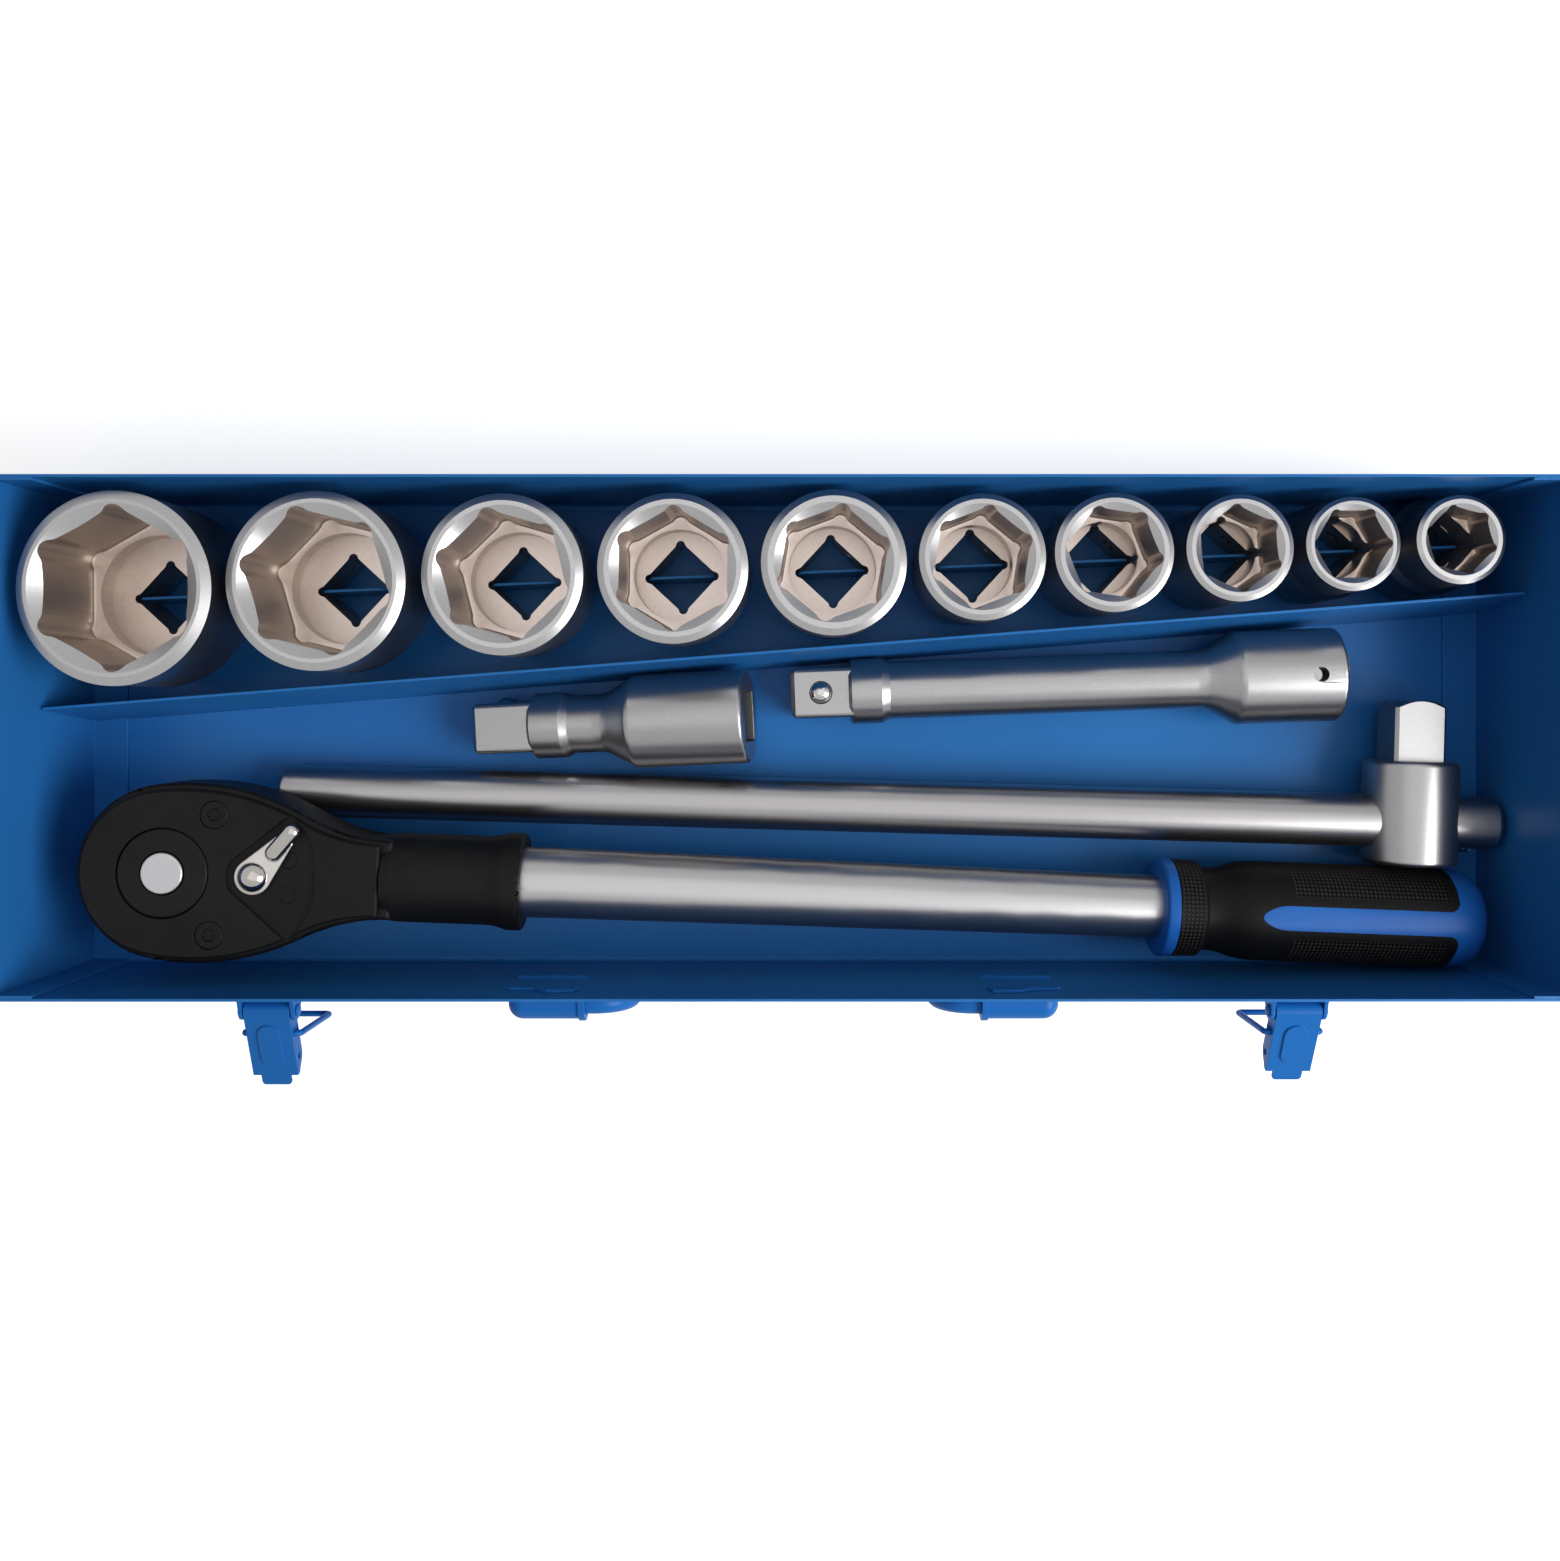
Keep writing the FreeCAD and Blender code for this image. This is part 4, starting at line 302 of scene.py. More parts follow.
finishes = {
    "blue_paint": powderCoat("powder coat blue", "#2468ae", "#2974b9", 0.28),
    "blue_fittings": powderCoat("powder coat fittings", "#155fab", "#1c6cb8", 0.28),
    "satin_chrome": satinChrome("satin chrome", "#9b9a9b", 0.32),
    "bright_chrome": groundChrome("ground chrome bar", "#9a9899", 0.30, barPlace),
    "black_coat": blackPhosphate("black phosphate", "#0b0b0c", "#131314", 0.52),
    "gear_steel": blackPhosphate("black gear steel", "#0d0d0e", "#151516", 0.46),
    "ball_steel": polishedSteel("polished ball steel", "#b5b4b2", 0.10),
    "spring_steel": polishedSteel("drawn spring wire", "#8f8e8c", 0.25),
    "black_plastic": gripRubber("grip rubber", ratchetPlace),
    "blue_plastic": mouldedPlastic("grip polypropylene", "#1a5aab", "#2064b5"),
}
tubeChrome = groundChrome("satin tube chrome", "#a8a7a8", 0.32, ratchetPlace)
leverChrome = polishedSteel("polished chrome lever", "#aca9a5", 0.08)
buttonSteel = satinChrome("turned button steel", "#adacae", 0.32)
socketChrome = satinChrome("satin socket chrome", "#a8a7a8", 0.30)
# The broached copy for the walls is a little darker than the turned copy for the level faces: painted shade, over
# the real broached streaks and roughness
broachedNickelShaded = bareNickel("broached nickel with painted shade", "#b3a69d", "#c0b3a9", 0.40, 0.06)
turnedNickel = bareNickel("turned nickel", "#b5a9a2", "#c0b4ad", 0.34, 1.0)


def dress(node, material):
    part = nodes[node]
    part.data.materials.clear()
    part.data.materials.append(material)


for row in frame["record"]["subparts"]:
    dress(row["node"], finishes[row["material_slot"]])
dress("handle_tube", tubeChrome)
dress("release_button", buttonSteel)
print("materials on", len(nodes), "nodes")


def pick(*pieces):
    bpy.ops.object.select_all(action="DESELECT")
    for piece in pieces:
        piece.select_set(True)
    bpy.context.view_layer.objects.active = pieces[0]


def editAll():
    bpy.ops.object.mode_set(mode="EDIT")
    bpy.ops.mesh.select_all(action="SELECT")


def selectRows(rows, kind, wanted):
    bpy.ops.object.mode_set(mode="EDIT")
    bpy.ops.mesh.select_mode(type=kind)
    bpy.ops.mesh.select_all(action="DESELECT")
    bpy.ops.object.mode_set(mode="OBJECT")
    for row in rows:
        row.select = wanted(row)
    bpy.ops.object.mode_set(mode="EDIT")


# Sets a piece down in its place, and leaves it at the origin, unturned and unscaled
def settle(piece, place):
    pick(piece)
    piece.matrix_world = place
    bpy.ops.object.transform_apply(location=True, rotation=True, scale=True)


def smoothUnder(degrees):
    bpy.ops.object.shade_smooth_by_angle(angle=math.radians(degrees))


# Reversing lever: a polished casting with a teardrop base, a domed hub and a raised thumb piece
lever = {"foot": 13.7, "deck": 15.9, "hub": 6.6, "hubSides": 64, "tip": 3.4, "tipAt": 16.6, "tipSides": 48,
         "flat": 1.0, "edge": 0.6, "edgeSteps": 3, "dome": 6.0, "domeRings": 28, "crown": 3.0, "sink": 0.5,
         "thumb": (2.9, 2.9, 2.1), "thumbRings": 20, "thumbAt": (11.6, 16.7), "thumbRun": 10.0,
         "thumbLean": 6.0, "thumbSplit": 0.01, "rest": 51.0, "voxel": 0.22, "even": 0.5, "evenTimes": 3}


def leverBase():
    depth = lever["deck"] - lever["foot"]
    middle = (lever["foot"] + lever["deck"]) / 2
    bpy.ops.object.select_all(action="DESELECT")
    bpy.ops.mesh.primitive_cylinder_add(vertices=lever["hubSides"], radius=lever["hub"], depth=depth,
                                        location=(0, 0, middle))
    base = bpy.context.object
    bpy.ops.object.transform_apply(location=True)
    bpy.ops.object.mode_set(mode="EDIT")
    bpy.ops.mesh.primitive_cylinder_add(vertices=lever["tipSides"], radius=lever["tip"], depth=depth,
                                        location=(lever["tipAt"], 0, middle))
    bpy.ops.mesh.select_all(action="SELECT")
    bpy.ops.mesh.convex_hull()
    bpy.ops.mesh.dissolve_limited(angle_limit=math.radians(lever["flat"]))
    bpy.ops.object.mode_set(mode="OBJECT")
    points = base.data.vertices
    selectRows(base.data.edges, "EDGE", lambda edge: min(points[i].co.z for i in edge.vertices) > middle)
    bpy.ops.mesh.bevel(offset=lever["edge"], segments=lever["edgeSteps"], affect="EDGES")
    bpy.ops.object.mode_set(mode="OBJECT")
    return base


def leverDome():
    bpy.ops.object.select_all(action="DESELECT")
    bpy.ops.mesh.primitive_uv_sphere_add(segments=2 * lever["domeRings"], ring_count=lever["domeRings"],
                                         radius=lever["dome"],
                                         location=(0, 0, lever["deck"] + lever["crown"] - lever["dome"]))
    dome = bpy.context.object
    bpy.ops.object.transform_apply(location=True)
    editAll()
    bpy.ops.mesh.bisect(plane_co=(0, 0, lever["deck"] - lever["sink"]), plane_no=upward, clear_inner=True,
                        use_fill=True)
    bpy.ops.object.mode_set(mode="OBJECT")
    return dome


def leverThumb():
    bpy.ops.object.select_all(action="DESELECT")
    bpy.ops.mesh.primitive_uv_sphere_add(segments=2 * lever["thumbRings"], ring_count=lever["thumbRings"],
                                         radius=1.0)
    thumb = bpy.context.object
    bpy.ops.object.mode_set(mode="EDIT")
    bpy.ops.transform.resize(value=lever["thumb"])
    selectRows(thumb.data.vertices, "VERT", lambda point: point.co.x > lever["thumbSplit"])
    bpy.ops.transform.translate(value=(lever["thumbRun"], 0, 0))
    bpy.ops.object.mode_set(mode="OBJECT")
    thumb.rotation_euler.y = -math.radians(lever["thumbLean"])
    thumb.location = (lever["thumbAt"][0], 0, lever["thumbAt"][1])
    bpy.ops.object.transform_apply(location=True, rotation=True)
    return thumb


def reversingLever():
    pick(leverBase(), leverDome(), leverThumb())
    bpy.ops.object.join()
    whole = bpy.context.object
    whole.name = "reversing_lever_casting"
    remesh = whole.modifiers.new("remesh", "REMESH")
    remesh.mode = "VOXEL"
    remesh.voxel_size = lever["voxel"]
    even = whole.modifiers.new("even", "SMOOTH")
    even.factor = lever["even"]
    even.iterations = lever["evenTimes"]
    for modifier in ("remesh", "even"):
        bpy.ops.object.modifier_apply(modifier=modifier)
    turn = Matrix.Rotation(math.radians(lever["rest"]), 4, "Z")
    pivot = Matrix.Translation((leverReach.length / mm, 0, 0))
    settle(whole, ratchetPlace @ fromMm @ pivot @ turn)
    bpy.ops.object.shade_smooth()
    whole.data.materials.append(leverChrome)
    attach(whole, "reversing_lever")
    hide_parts("reversing_lever")
    print("reversing lever cast:", len(whole.data.polygons), "faces")


reversingLever()


# Turned and broached pieces: how finely they are drawn, and what counts as a sliver
turning = {"sides": 180, "sliver": 0.004}


# A body turned about z, from rings of height and radius
def turnedBody(rings):
    length = rings[-1][0]
    bpy.ops.object.select_all(action="DESELECT")
    bpy.ops.mesh.primitive_cylinder_add(vertices=turning["sides"], radius=1.0, depth=length,
                                        location=(0, 0, length / 2))
    body = bpy.context.object
    bpy.ops.object.transform_apply(location=True)
    bpy.ops.object.mode_set(mode="EDIT")
    for ring in rings[1:-1]:
        bpy.ops.mesh.select_all(action="SELECT")
        bpy.ops.mesh.bisect(plane_co=(0, 0, ring[0]), plane_no=upward)
    bpy.ops.object.mode_set(mode="OBJECT")
    for point in body.data.vertices:
        radius = min(rings, key=lambda ring: abs(ring[0] - point.co.z))[1]
        point.co.x *= radius
        point.co.y *= radius
    return body


def rod(low, high, radius):
    piece = turnedBody([(0.0, radius), (high - low, radius)])
    piece.location.z = low
    return piece


# A polygon's outline with a round lobe at each corner, in the given direction from its middle
def outlineReach(angle, corners, half, lobeAt, lobe):
    step = 2 * math.pi / corners
    off = (angle + step / 2) % step - step / 2
    reach = half / math.cos(step / 2 - abs(off))
    aside = lobeAt * abs(math.sin(off))
    if aside < lobe:
        reach = max(reach, lobeAt * math.cos(off) + math.sqrt(lobe ** 2 - aside ** 2))
    return reach


def broach(corners, half, lobeAt, lobe, turn, low, high):
    cutter = turnedBody([(0.0, 1.0), (high - low, 1.0)])
    for point in cutter.data.vertices:
        angle = math.atan2(point.co.y, point.co.x)
        reach = outlineReach(angle - math.radians(turn), corners, half, lobeAt, lobe)
        point.co = (reach * math.cos(angle), reach * math.sin(angle), point.co.z + low)
    return cutter


def cut(piece, cutter, finish, operation="DIFFERENCE"):
    cutter.data.materials.append(finish)
    pick(piece)
    trim = piece.modifiers.new("cut", "BOOLEAN")
    trim.operation = operation
    trim.solver = "EXACT"
    trim.material_mode = "TRANSFER"
    trim.object = cutter
    bpy.ops.object.modifier_apply(modifier="cut")
    bpy.data.objects.remove(cutter)


# Booleans leave slivers along the cuts: these are merged away, so that the mesh closes
def closeCuts():
    editAll()
    bpy.ops.mesh.remove_doubles(threshold=turning["sliver"])
    bpy.ops.mesh.dissolve_degenerate(threshold=turning["sliver"])
    bpy.ops.mesh.select_all(action="SELECT")
    bpy.ops.mesh.quads_convert_to_tris(quad_method="BEAUTY", ngon_method="BEAUTY")
    bpy.ops.mesh.dissolve_degenerate(threshold=turning["sliver"])
    bpy.ops.object.mode_set(mode="OBJECT")


# Sockets: turned outside, a hexagon with wide lobes under a conical lead, and a square with corner reliefs
socketShape = {
    "foot": 1.4, "shoulder": 28.0, "taper": 0.8, "taperLeast": 1.0,
    "edgeWide": 0.09, "edgeHigh": 0.05,  # shares of the mouth's radius
    "lobeReach": 0.58, "lobe": 0.09, "bore": 0.45,  # two lines of shares of the width across flats
    "leadTop": 0.588, "leadLow": 0.49, "leadDrop": 0.07,
    "driveDepth": 21.0, "boreLeast": 0.9, "square": 9.675, "relief": 1.75, "reliefAt": 12.1, "squareTurn": 47.26,
    "floorRound": 0.9, "floorSteps": 3, "floorAngle": 60.0,
    "pin": 2.7, "pinHeight": 11.4, "pinStart": 5.0, "over": 1.0, "level": 0.8, "smooth": 20.0,
}
socketSizes = {
    50: {"mouth": 67.5, "driveEnd": 48.0, "hexDepth": 38.0, "turn": 30.0},
    46: {"mouth": 62.4, "driveEnd": 47.0, "hexDepth": 36.0, "turn": 46.0},
    41: {"mouth": 56.5, "driveEnd": 45.0, "hexDepth": 33.5, "turn": 44.0},
    38: {"mouth": 52.9, "driveEnd": 44.0, "hexDepth": 31.0, "turn": 29.0},
    36: {"mouth": 51.3, "driveEnd": 43.0, "hexDepth": 29.0, "turn": 20.5},
    32: {"mouth": 44.8, "driveEnd": 42.0, "hexDepth": 27.0, "turn": 21.0},
    30: {"mouth": 42.2, "driveEnd": 40.0, "hexDepth": 24.0, "turn": 51.5},
    27: {"mouth": 38.1, "driveEnd": 38.0, "hexDepth": 22.0, "turn": 35.5},
    24: {"mouth": 33.6, "driveEnd": 36.5, "hexDepth": 19.0, "turn": 0.5},
    22: {"mouth": 31.8, "driveEnd": 36.0, "hexDepth": 16.0, "turn": 45.0},
}


def roundFloor(cutter):
    curve = cutter.modifiers.new("floor", "BEVEL")
    curve.width = socketShape["floorRound"]
    curve.segments = socketShape["floorSteps"]
    curve.limit_method = "ANGLE"
    curve.angle_limit = math.radians(socketShape["floorAngle"])
    bpy.ops.object.modifier_apply(modifier="floor")


def socketPiece(flats, size):
    shape = socketShape
    node = f"socket_{flats}"
    low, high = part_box(node)
    length = (high.z - low.z) / mm
    mouth, foot = size["mouth"] / 2, size["driveEnd"] / 2
    floor = length - size["hexDepth"]
    over = shape["over"]

    taper = abs(mouth - foot) * shape["taper"] + shape["taperLeast"]
    piece = turnedBody([
        (0.0, foot - shape["foot"]), (shape["foot"], foot), (shape["shoulder"] - taper, foot),
        (shape["shoulder"], mouth), (length - mouth * shape["edgeHigh"], mouth),
        (length, mouth * (1 - shape["edgeWide"]))])
    piece.name = f"{node}_plated"
    piece.data.materials.append(socketChrome)

    hexagon = broach(6, flats / 2, flats * (shape["lobeReach"] - shape["lobe"]), flats * shape["lobe"],
                     size["turn"], floor, length + over)
    roundFloor(hexagon)
    cut(piece, hexagon, broachedNickelShaded)

    drop = flats * shape["leadDrop"]
    slope = (shape["leadTop"] - shape["leadLow"]) / shape["leadDrop"]
    bpy.ops.object.select_all(action="DESELECT")
    bpy.ops.mesh.primitive_cone_add(vertices=turning["sides"], radius1=flats * shape["leadLow"],
                                    radius2=flats * shape["leadTop"] + slope * over, depth=drop + over,
                                    location=(0, 0, length + (over - drop) / 2))
    cut(piece, bpy.context.object, socketChrome)

    deep = max(floor - shape["driveDepth"], shape["boreLeast"])
    bore = turnedBody([(0.0, flats * shape["bore"]), (deep + over, flats * shape["bore"])])
    bore.location.z = floor - deep
    cut(piece, bore, broachedNickelShaded)

    square = broach(4, shape["square"], shape["reliefAt"], shape["relief"], shape["squareTurn"] + 45.0,
                    -over, floor + over)
    cut(piece, square, broachedNickelShaded)

    pin = turnedBody([(0.0, shape["pin"]), (foot, shape["pin"])])
    pin.rotation_euler = (0, math.pi / 2, math.radians(shape["squareTurn"]))
    aside = pin.rotation_euler.z
    pin.location = Vector((math.cos(aside), math.sin(aside), 0)) * shape["pinStart"]
    pin.location.z = shape["pinHeight"]
    cut(piece, pin, socketChrome)
    closeCuts()

    # Level faces inside are turned, not broached, and keep the lighter nickel; the walls' slightly darker nickel
    # is painted shade, beside their real broached streaks and roughness
    names = [material.name for material in piece.data.materials]
    piece.data.materials.append(turnedNickel)
    for face in piece.data.polygons:
        if names[face.material_index] == broachedNickelShaded.name and face.normal.z > shape["level"]:
            face.material_index = len(names)

    middle = (low + high) / 2
    settle(piece, Matrix.Translation((middle.x, middle.y, low.z)) @ fromMm)
    smoothUnder(shape["smooth"])
    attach(piece, node)
    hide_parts(node)


for flats, size in socketSizes.items():
    socketPiece(flats, size)
print("sockets broached:", len(socketSizes))


# Grip: black rubber lobes over a blue core that shows as a collar, two stripes and the end cap
gripShape = {
    "start": 361.5, "length": 124.5, "big": 18.6, "waist": 15.5, "core": 14.0, "coreStop": 12.0, "collar": 5.0,
    "lobeEnd": 16.0, "corner": 4.0, "stripe": 35.0, "stripeHalf": 4.5, "nose": 2.0, "taper": math.radians(36),
    "steps": 6, "thick": 30.0, "wide": 25.0, "pole": 0.05, "over": 1.0, "past": 5.0, "smooth": 25.0,
}


# Points on the arc between two points of a profile; a negative radius hollows it
def arcRun(start, end, radius, count):
    start, end = Vector(start), Vector(end)
    middle, half = (start + end) / 2, (end - start) / 2
    out = Vector((-half.y, half.x)).normalized()
    out = out if out.y > 0 else -out
    bulge = 1 if radius > 0 else -1
    centre = middle - out * bulge * math.sqrt(max(radius ** 2 - half.length_squared, 0))
    first = start - centre
    sweep = first.angle_signed(end - centre)
    return [centre + Matrix.Rotation(-sweep * i / count, 2) @ first for i in range(count + 1)]


# The whole grip's profile through points of length and radius; each arc also has its radius and its steps
def gripRings():
    shape = gripShape
    end, big, waist, collar = shape["length"], shape["big"], shape["waist"], shape["collar"]
    face, rim = (0, big - 1.7), (1.4, big - 0.3)
    band = [(collar - 0.4, big - 0.3), (collar + 0.6, big - 0.5), (14.4, big - 0.8)]
    hollow, swell, lobe = (16.0, waist), (25.5, waist + 1.1), (36.0, big)
    shoulder, cap, crown = (end - 22.0, big), (end - 10.0, big - 0.6), (end - 2.93, 11.5)
    rings = arcRun(face, rim, 1.4, 4)
    rings += [Vector(point) for point in band]
    rings += arcRun(hollow, swell, -20.0, 6)
    rings += arcRun(swell, lobe, 32.0, 6)[1:]
    rings += arcRun(shoulder, cap, 120.0, 4)
    rings += arcRun(cap, crown, 9.7, 8)[1:]
    rings += arcRun(crown, (end, shape["pole"]), 24.0, 6)[1:]
    return [(ring.x, ring.y) for ring in rings]


# Where the blue shows: a stripe with a pointed nose that opens into the end cap, drawn through the grip
def stripeBlock():
    shape = gripShape
    half, nose, taper, corner = shape["stripeHalf"], shape["nose"], shape["taper"], shape["corner"]
    steps, wide = shape["steps"], shape["wide"]
    lobeEnd = shape["length"] - shape["lobeEnd"]
    rest = half - nose * math.cos(taper)
    flank = rest / (1 - math.cos(taper))
    flankAt = shape["stripe"] + nose * (1 - math.sin(taper)) + rest / math.tan(taper / 2)
    side = []
    for i in range(steps + 1):
        turn = (math.pi / 2 - taper) * i / steps
        side.append((shape["stripe"] + nose * (1 - math.cos(turn)), nose * math.sin(turn)))
    for i in range(1, steps + 1):
        turn = taper * (1 - i / steps)
        side.append((flankAt - flank * math.sin(turn), half - flank * (1 - math.cos(turn))))
    for i in range(steps + 1):
        turn = math.pi / 2 * i / steps
        side.append((lobeEnd - corner * (1 - math.sin(turn)), half + corner * (1 - math.cos(turn))))
    side += [(lobeEnd, wide), (shape["length"] + shape["past"], wide)]
    loop = side + [(along, -across) for along, across in reversed(side[1:])]
    count = len(loop)
    levels = (-shape["thick"], shape["thick"])
    points = [(level, across, along) for level in levels for along, across in loop]
    walls = [(i, (i + 1) % count, (i + 1) % count + count, i + count) for i in range(count)]
    mesh = bpy.data.meshes.new("stripes")
    mesh.from_pydata(points, [], walls + [tuple(range(count)), tuple(range(count, 2 * count))])
    block = bpy.data.objects.new("stripes", mesh)
    bpy.context.scene.collection.objects.link(block)
    pick(block)
    editAll()
    bpy.ops.mesh.normals_make_consistent(inside=False)
    bpy.ops.object.mode_set(mode="OBJECT")
    return block


def finishGrip(piece, node, name):
    piece.name = name
    along = Matrix.Translation((gripShape["start"], 0, 0)) @ Matrix.Rotation(math.pi / 2, 4, "Y")
    settle(piece, ratchetPlace @ fromMm @ along)
    smoothUnder(gripShape["smooth"])
    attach(piece, "ratchet")
    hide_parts(node)


def ratchetGrip():
    shape = gripShape
    rubber, plastic = finishes["black_plastic"], finishes["blue_plastic"]
    end = shape["length"]
    sleeve = turnedBody(gripRings())
    sleeve.data.materials.append(rubber)
    cut(sleeve, stripeBlock(), rubber)
    cut(sleeve, rod(-shape["over"], shape["collar"], shape["wide"]), rubber)
    cut(sleeve, rod(0.0, end, shape["core"]), rubber)
    core = turnedBody(gripRings())
    core.data.materials.append(plastic)
    cut(core, stripeBlock(), plastic, "INTERSECT")
    cut(core, rod(shape["collar"] / 2, end - shape["coreStop"], shape["core"]), plastic, "UNION")
    collar = turnedBody([ring for ring in gripRings() if ring[0] < shape["collar"]])
    cut(core, collar, plastic, "UNION")
    finishGrip(sleeve, "grip_sleeve", "grip_sleeve_lobes")
    finishGrip(core, "grip_core", "grip_core_striped")
    print("grip moulded")


ratchetGrip()


# T-head: a turned drum across the bar with a square whose end is turned to a cone
headShape = {
    "front": 16.1, "back": 23.0, "radius": 17.25, "edge": 2.0, "edgeSteps": 5, "square": 9.525,
    "squareLong": 22.6, "squareRoot": 5.0, "corner": 12.64, "tip": 9.3, "cone": 2.5, "bore": 10.08, "over": 2.0,
    "ballFromTip": 11.4, "ballIn": 6.525, "seat": 5.1, "seatFloor": 5.0, "mouth": 4.35, "mouthOver": 1.0,
    "lip": 0.4, "smooth": 25.0,
}


def slidingHead():
    shape = headShape
    steel = finishes["satin_chrome"]
    long, edge, radius = shape["front"] + shape["back"], shape["edge"], shape["radius"]
    tipAt = long + shape["squareLong"]
    ballAt = tipAt - shape["ballFromTip"]

    rings = [tuple(ring) for ring in arcRun((0, radius - edge), (edge, radius), edge, shape["edgeSteps"])]
    rings += [(long - x, y) for x, y in reversed(rings)]
    head = turnedBody(rings)
    head.data.materials.append(steel)
    square = broach(4, shape["square"], 0.0, 0.0, 45.0, long - shape["squareRoot"], tipAt)
    square.data.materials.append(steel)
    turned = turnedBody([(0.0, shape["corner"]), (tipAt - shape["cone"], shape["corner"]),
                         (tipAt, shape["tip"])])
    cut(square, turned, steel, "INTERSECT")
    cut(head, square, steel, "UNION")

    # Holes that lie across: the bar's bore, and the ball's seat with its narrower mouth
    across = Matrix.Rotation(math.pi / 2, 4, "Y")
    flat = shape["square"]
    holes = ((shape["front"], -radius - shape["over"], radius + shape["over"], shape["bore"]),
             (ballAt, -flat + shape["seatFloor"], flat - shape["lip"], shape["seat"]),
             (ballAt, 0.0, flat + shape["mouthOver"], shape["mouth"]))
    for level, low, high, wide in holes:
        hole = rod(low, high, wide)
        hole.matrix_world = Matrix.Translation((0, 0, level)) @ across @ hole.matrix_basis
        cut(head, hole, steel)
    closeCuts()

    head.name = "t_head_turned"
    barRight = -axisOf("t_head_ball_press")
    back = upward.cross(barRight).normalized()
    low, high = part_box("t_head_ball")
    origin = (low + high) / 2 - barRight * shape["ballIn"] * mm - back * ballAt * mm
    settle(head, placeFrom(origin, barRight, back) @ fromMm)
    smoothUnder(shape["smooth"])
    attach(head, "t_head")
    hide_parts("t_head")
    print("T-head turned")


slidingHead()


# Springs: round wire wound in four turns
springs = {
    "long_extension_spring": {"body": "long_extension", "ball": "long_extension_ball"},
    "short_extension_spring": {"body": "short_extension", "ball": "short_extension_ball"},
    "t_head_spring": {"body": "t_head", "ball": "t_head_ball"},
    "release_spring": {"body": "drive", "joint": "release_button_press", "wire": 1.2, "coil": 6.2,
                       "ends": (3.65, 10.55)},
}
ballSpring = {"wire": 0.9, "coil": 3.6, "ends": (-10.375, -4.125)}
winding = {"turns": 4, "steps": 40, "sides": 16, "smooth": 40.0}


def coilSpring(node, spring):
    facts = {**ballSpring, **spring}
    joint = facts.get("joint") or facts["ball"] + "_press"
    inward = axisOf(joint)
    middle = ratchetAt
    if "ball" in facts:
        low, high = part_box(facts["ball"])
        middle = (low + high) / 2
    start, end = facts["ends"]
    bpy.ops.object.select_all(action="DESELECT")
    bpy.ops.mesh.primitive_circle_add(vertices=winding["sides"], radius=facts["wire"] / 2,
                                      location=(facts["coil"], 0, start), rotation=(math.pi / 2, 0, 0))
    piece = bpy.context.object
    piece.name = f"{node}_wire"
    bpy.ops.object.transform_apply(location=True, rotation=True)
    wind = piece.modifiers.new("wind", "SCREW")
    wind.iterations = winding["turns"]
    wind.screw_offset = (end - start) / winding["turns"]
    wind.steps = wind.render_steps = winding["steps"]
    bpy.ops.object.modifier_apply(modifier="wind")
    editAll()
    bpy.ops.mesh.fill_holes(sides=0)
    bpy.ops.mesh.select_all(action="SELECT")
    bpy.ops.mesh.normals_make_consistent(inside=False)
    bpy.ops.object.mode_set(mode="OBJECT")
    settle(piece, placeFrom(middle, inward.orthogonal().normalized(), -inward) @ fromMm)
    smoothUnder(winding["smooth"])
    piece.data.materials.append(finishes["spring_steel"])
    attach(piece, facts["body"])
    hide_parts(node)
    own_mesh(piece)


for node, spring in springs.items():
    coilSpring(node, spring)
print("springs wound:", len(springs))


# Every edge of a real piece is slightly broken, which gives it a thin line of light
edgeBreak = {"weld": 0.002 * mm, "width": 0.15 * mm, "segments": 2, "angle": math.radians(22), "weight": 100}
for part in nodes.values():
    weld = part.modifiers.new("weld", "WELD")
    weld.merge_threshold = edgeBreak["weld"]
    soft = part.modifiers.new("edge", "BEVEL")
    soft.width = edgeBreak["width"]
    soft.segments = edgeBreak["segments"]
    soft.limit_method = "ANGLE"
    soft.angle_limit = edgeBreak["angle"]
    soft.use_clamp_overlap = False
    shade = part.modifiers.new("shade", "WEIGHTED_NORMAL")
    shade.weight = edgeBreak["weight"]
print("edges broken")


# Camera straight above the case, as far off as in the photograph
camera = {"at": (7.4 * mm, 13.0 * mm, 551.0 * mm), "lens": 32.31, "sensor": 36.0, "near": 10 * mm,
          "shift": (-0.0154, -0.0516)}
eye = bpy.data.objects.new("camera", bpy.data.cameras.new("camera"))
eye.location = camera["at"]
eye.data.lens = camera["lens"]
eye.data.sensor_width = camera["sensor"]
eye.data.sensor_fit = "HORIZONTAL"
eye.data.shift_x, eye.data.shift_y = camera["shift"]
eye.data.clip_start = camera["near"]
bpy.context.scene.collection.objects.link(eye)
bpy.context.scene.camera = eye

# White paper under the case: matt, with a fine grain, and lifted towards white where the camera sees it
sweep = {"size": 8.0, "below": 0.5 * mm, "grain": 2 * mm, "deep": "#f2f2f2", "light": "#f8f8f8",
         "lift": 0.55, "roughness": 0.9}
plainWhite = (1, 1, 1, 1)
bpy.ops.object.select_all(action="DESELECT")
bpy.ops.mesh.primitive_plane_add(size=sweep["size"], location=(0, 0, -sweep["below"]))
ground = bpy.context.object
ground.name = "floor"
paper, paperTree, paperShader = newMaterial("white paper sweep")
paperCoords = addNode(paperTree, "TexCoord").outputs["Object"]
paperGrain = addNode(paperTree, "TexNoise", {"Vector": paperCoords, "Scale": 1 / sweep["grain"], "Detail": 2.0})
paperTone = addNode(paperTree, "ValToRGB", {"Fac": paperGrain.outputs["Fac"]},
                    stops=[(0.2, linearColor(sweep["deep"])), (0.8, linearColor(sweep["light"]))])
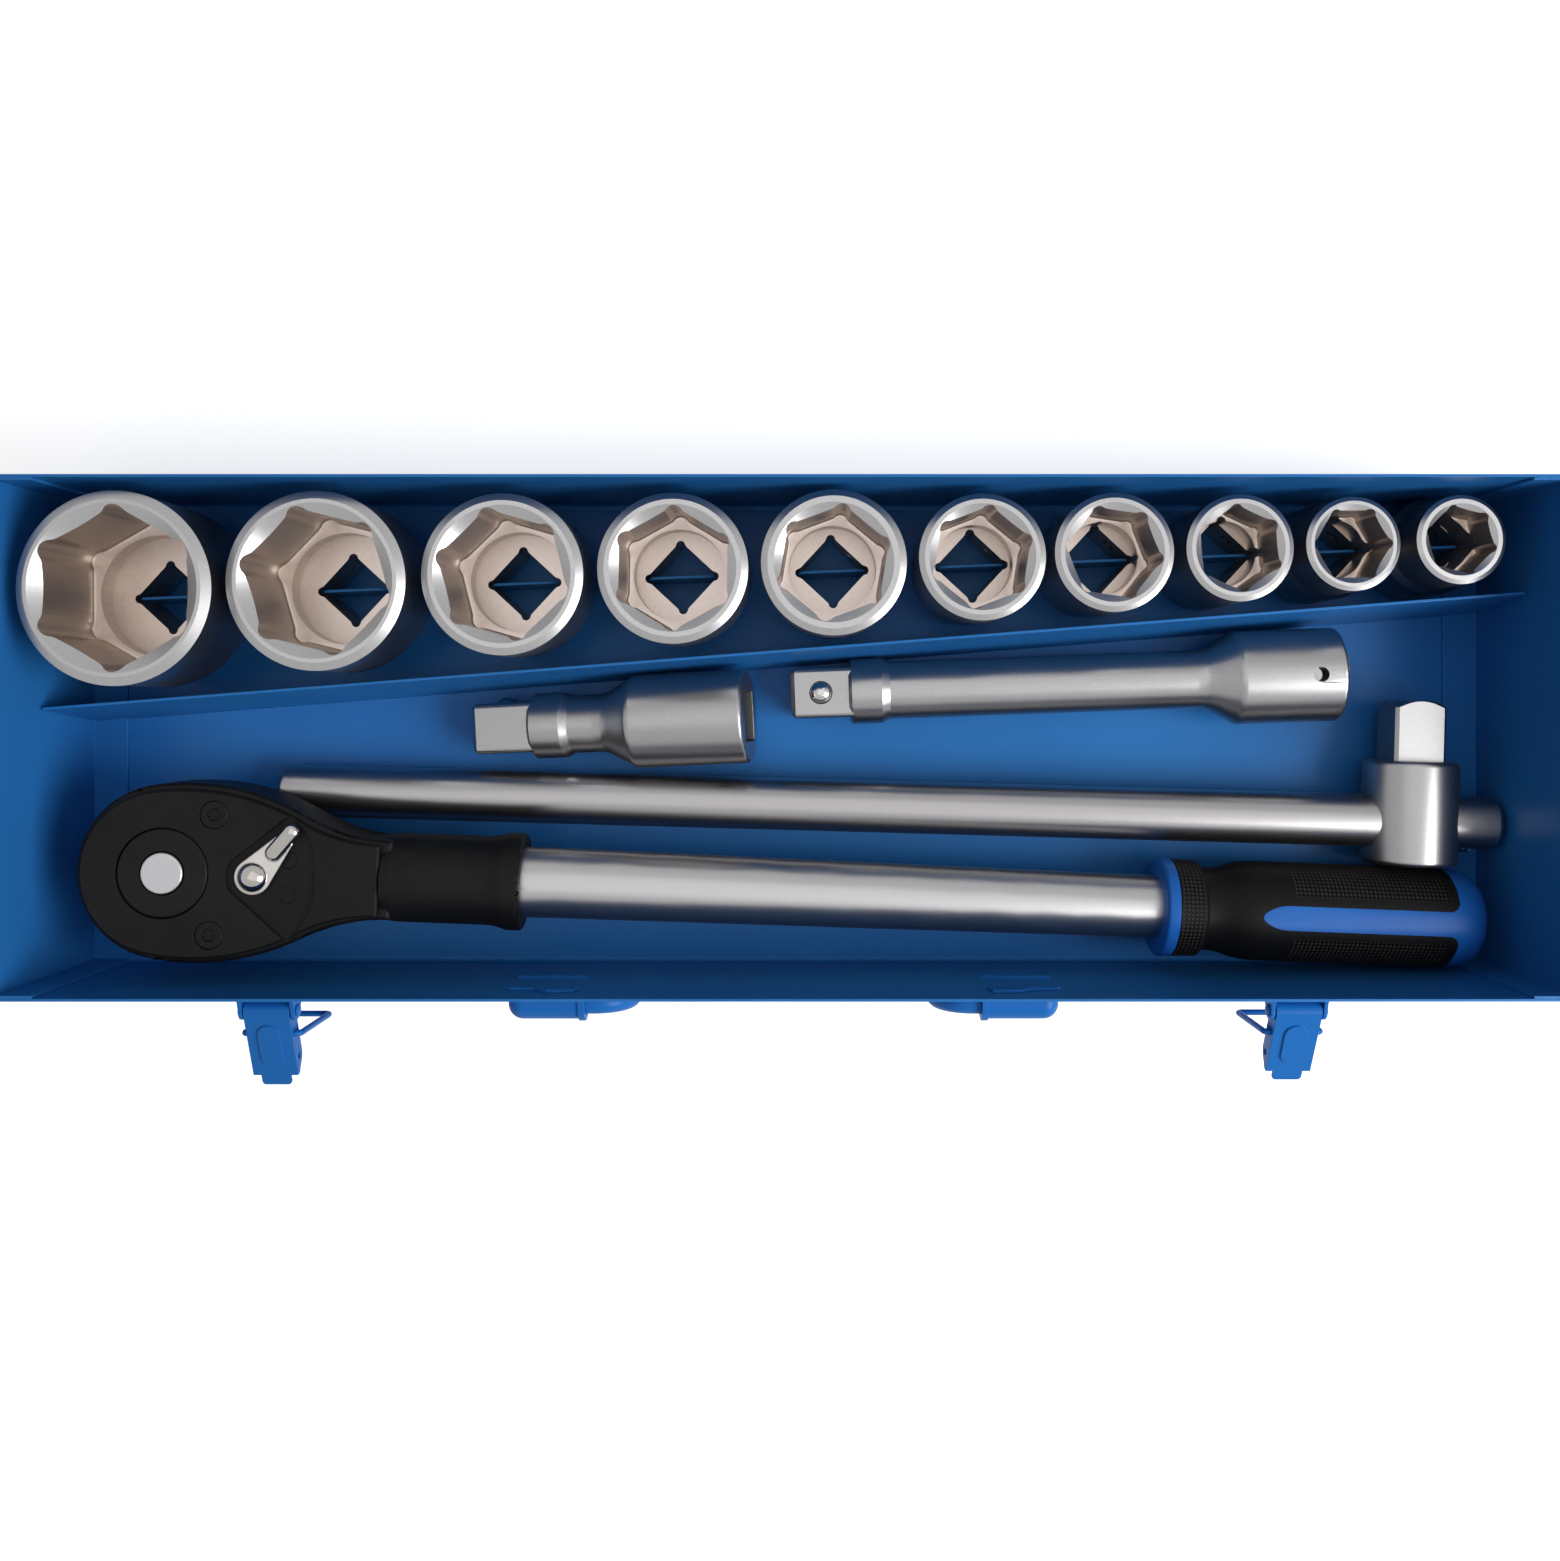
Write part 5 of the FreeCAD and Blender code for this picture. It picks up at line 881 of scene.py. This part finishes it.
paperRay = addNode(paperTree, "LightPath").outputs["Is Camera Ray"]
paperLift = addNode(paperTree, "Math", {0: paperRay, 1: sweep["lift"]}, operation="MULTIPLY")
paperTree.links.new(paperTone.outputs["Color"], paperShader.inputs["Base Color"])
paperTree.links.new(paperLift.outputs["Value"], paperShader.inputs["Emission Strength"])
paperShader.inputs["Emission Color"].default_value = plainWhite
paperShader.inputs["Roughness"].default_value = sweep["roughness"]
ground.data.materials.append(paper)

# A white room for the eye and for reflections, which gives only a weak light of its own
room = {"glow": 0.22, "white": 1.0}
sky = bpy.data.worlds.new("studio")
bpy.context.scene.world = sky
sky.use_nodes = True
skyTree = sky.node_tree
skyTree.nodes.clear()
skyRays = addNode(skyTree, "LightPath").outputs
seen = addNode(skyTree, "Math", {0: skyRays["Is Camera Ray"], 1: skyRays["Is Glossy Ray"]},
               operation="MAXIMUM").outputs["Value"]
seen = addNode(skyTree, "Math", {0: seen, 1: skyRays["Is Transmission Ray"]},
               operation="MAXIMUM").outputs["Value"]
glow = addNode(skyTree, "Background", {"Color": plainWhite, "Strength": room["glow"]})
white = addNode(skyTree, "Background", {"Color": plainWhite, "Strength": room["white"]})
blend = addNode(skyTree, "MixShader", {0: seen, 1: glow.outputs["Background"], 2: white.outputs["Background"]})
addNode(skyTree, "OutputWorld", {"Surface": blend.outputs["Shader"]})

# Soft boxes to the right and above
lamps = {
    "key": {"at": (0.95, -0.35, 0.85), "size": 0.8, "watts": 16.0},
    "top": {"at": (0.05, 0.10, 1.50), "size": 1.6, "watts": 4.2},
}
lampAim = Vector((0, 0, 30 * mm))
for name, lamp in lamps.items():
    light = bpy.data.lights.new(name, "AREA")
    light.shape = "SQUARE"
    light.size = lamp["size"]
    light.energy = lamp["watts"]
    box = bpy.data.objects.new(name, light)
    box.location = lamp["at"]
    box.rotation_euler = (lampAim - Vector(lamp["at"])).to_track_quat("-Z", "Y").to_euler()
    bpy.context.scene.collection.objects.link(box)
bpy.context.scene.view_settings.view_transform = "Standard"
print("camera and light set")
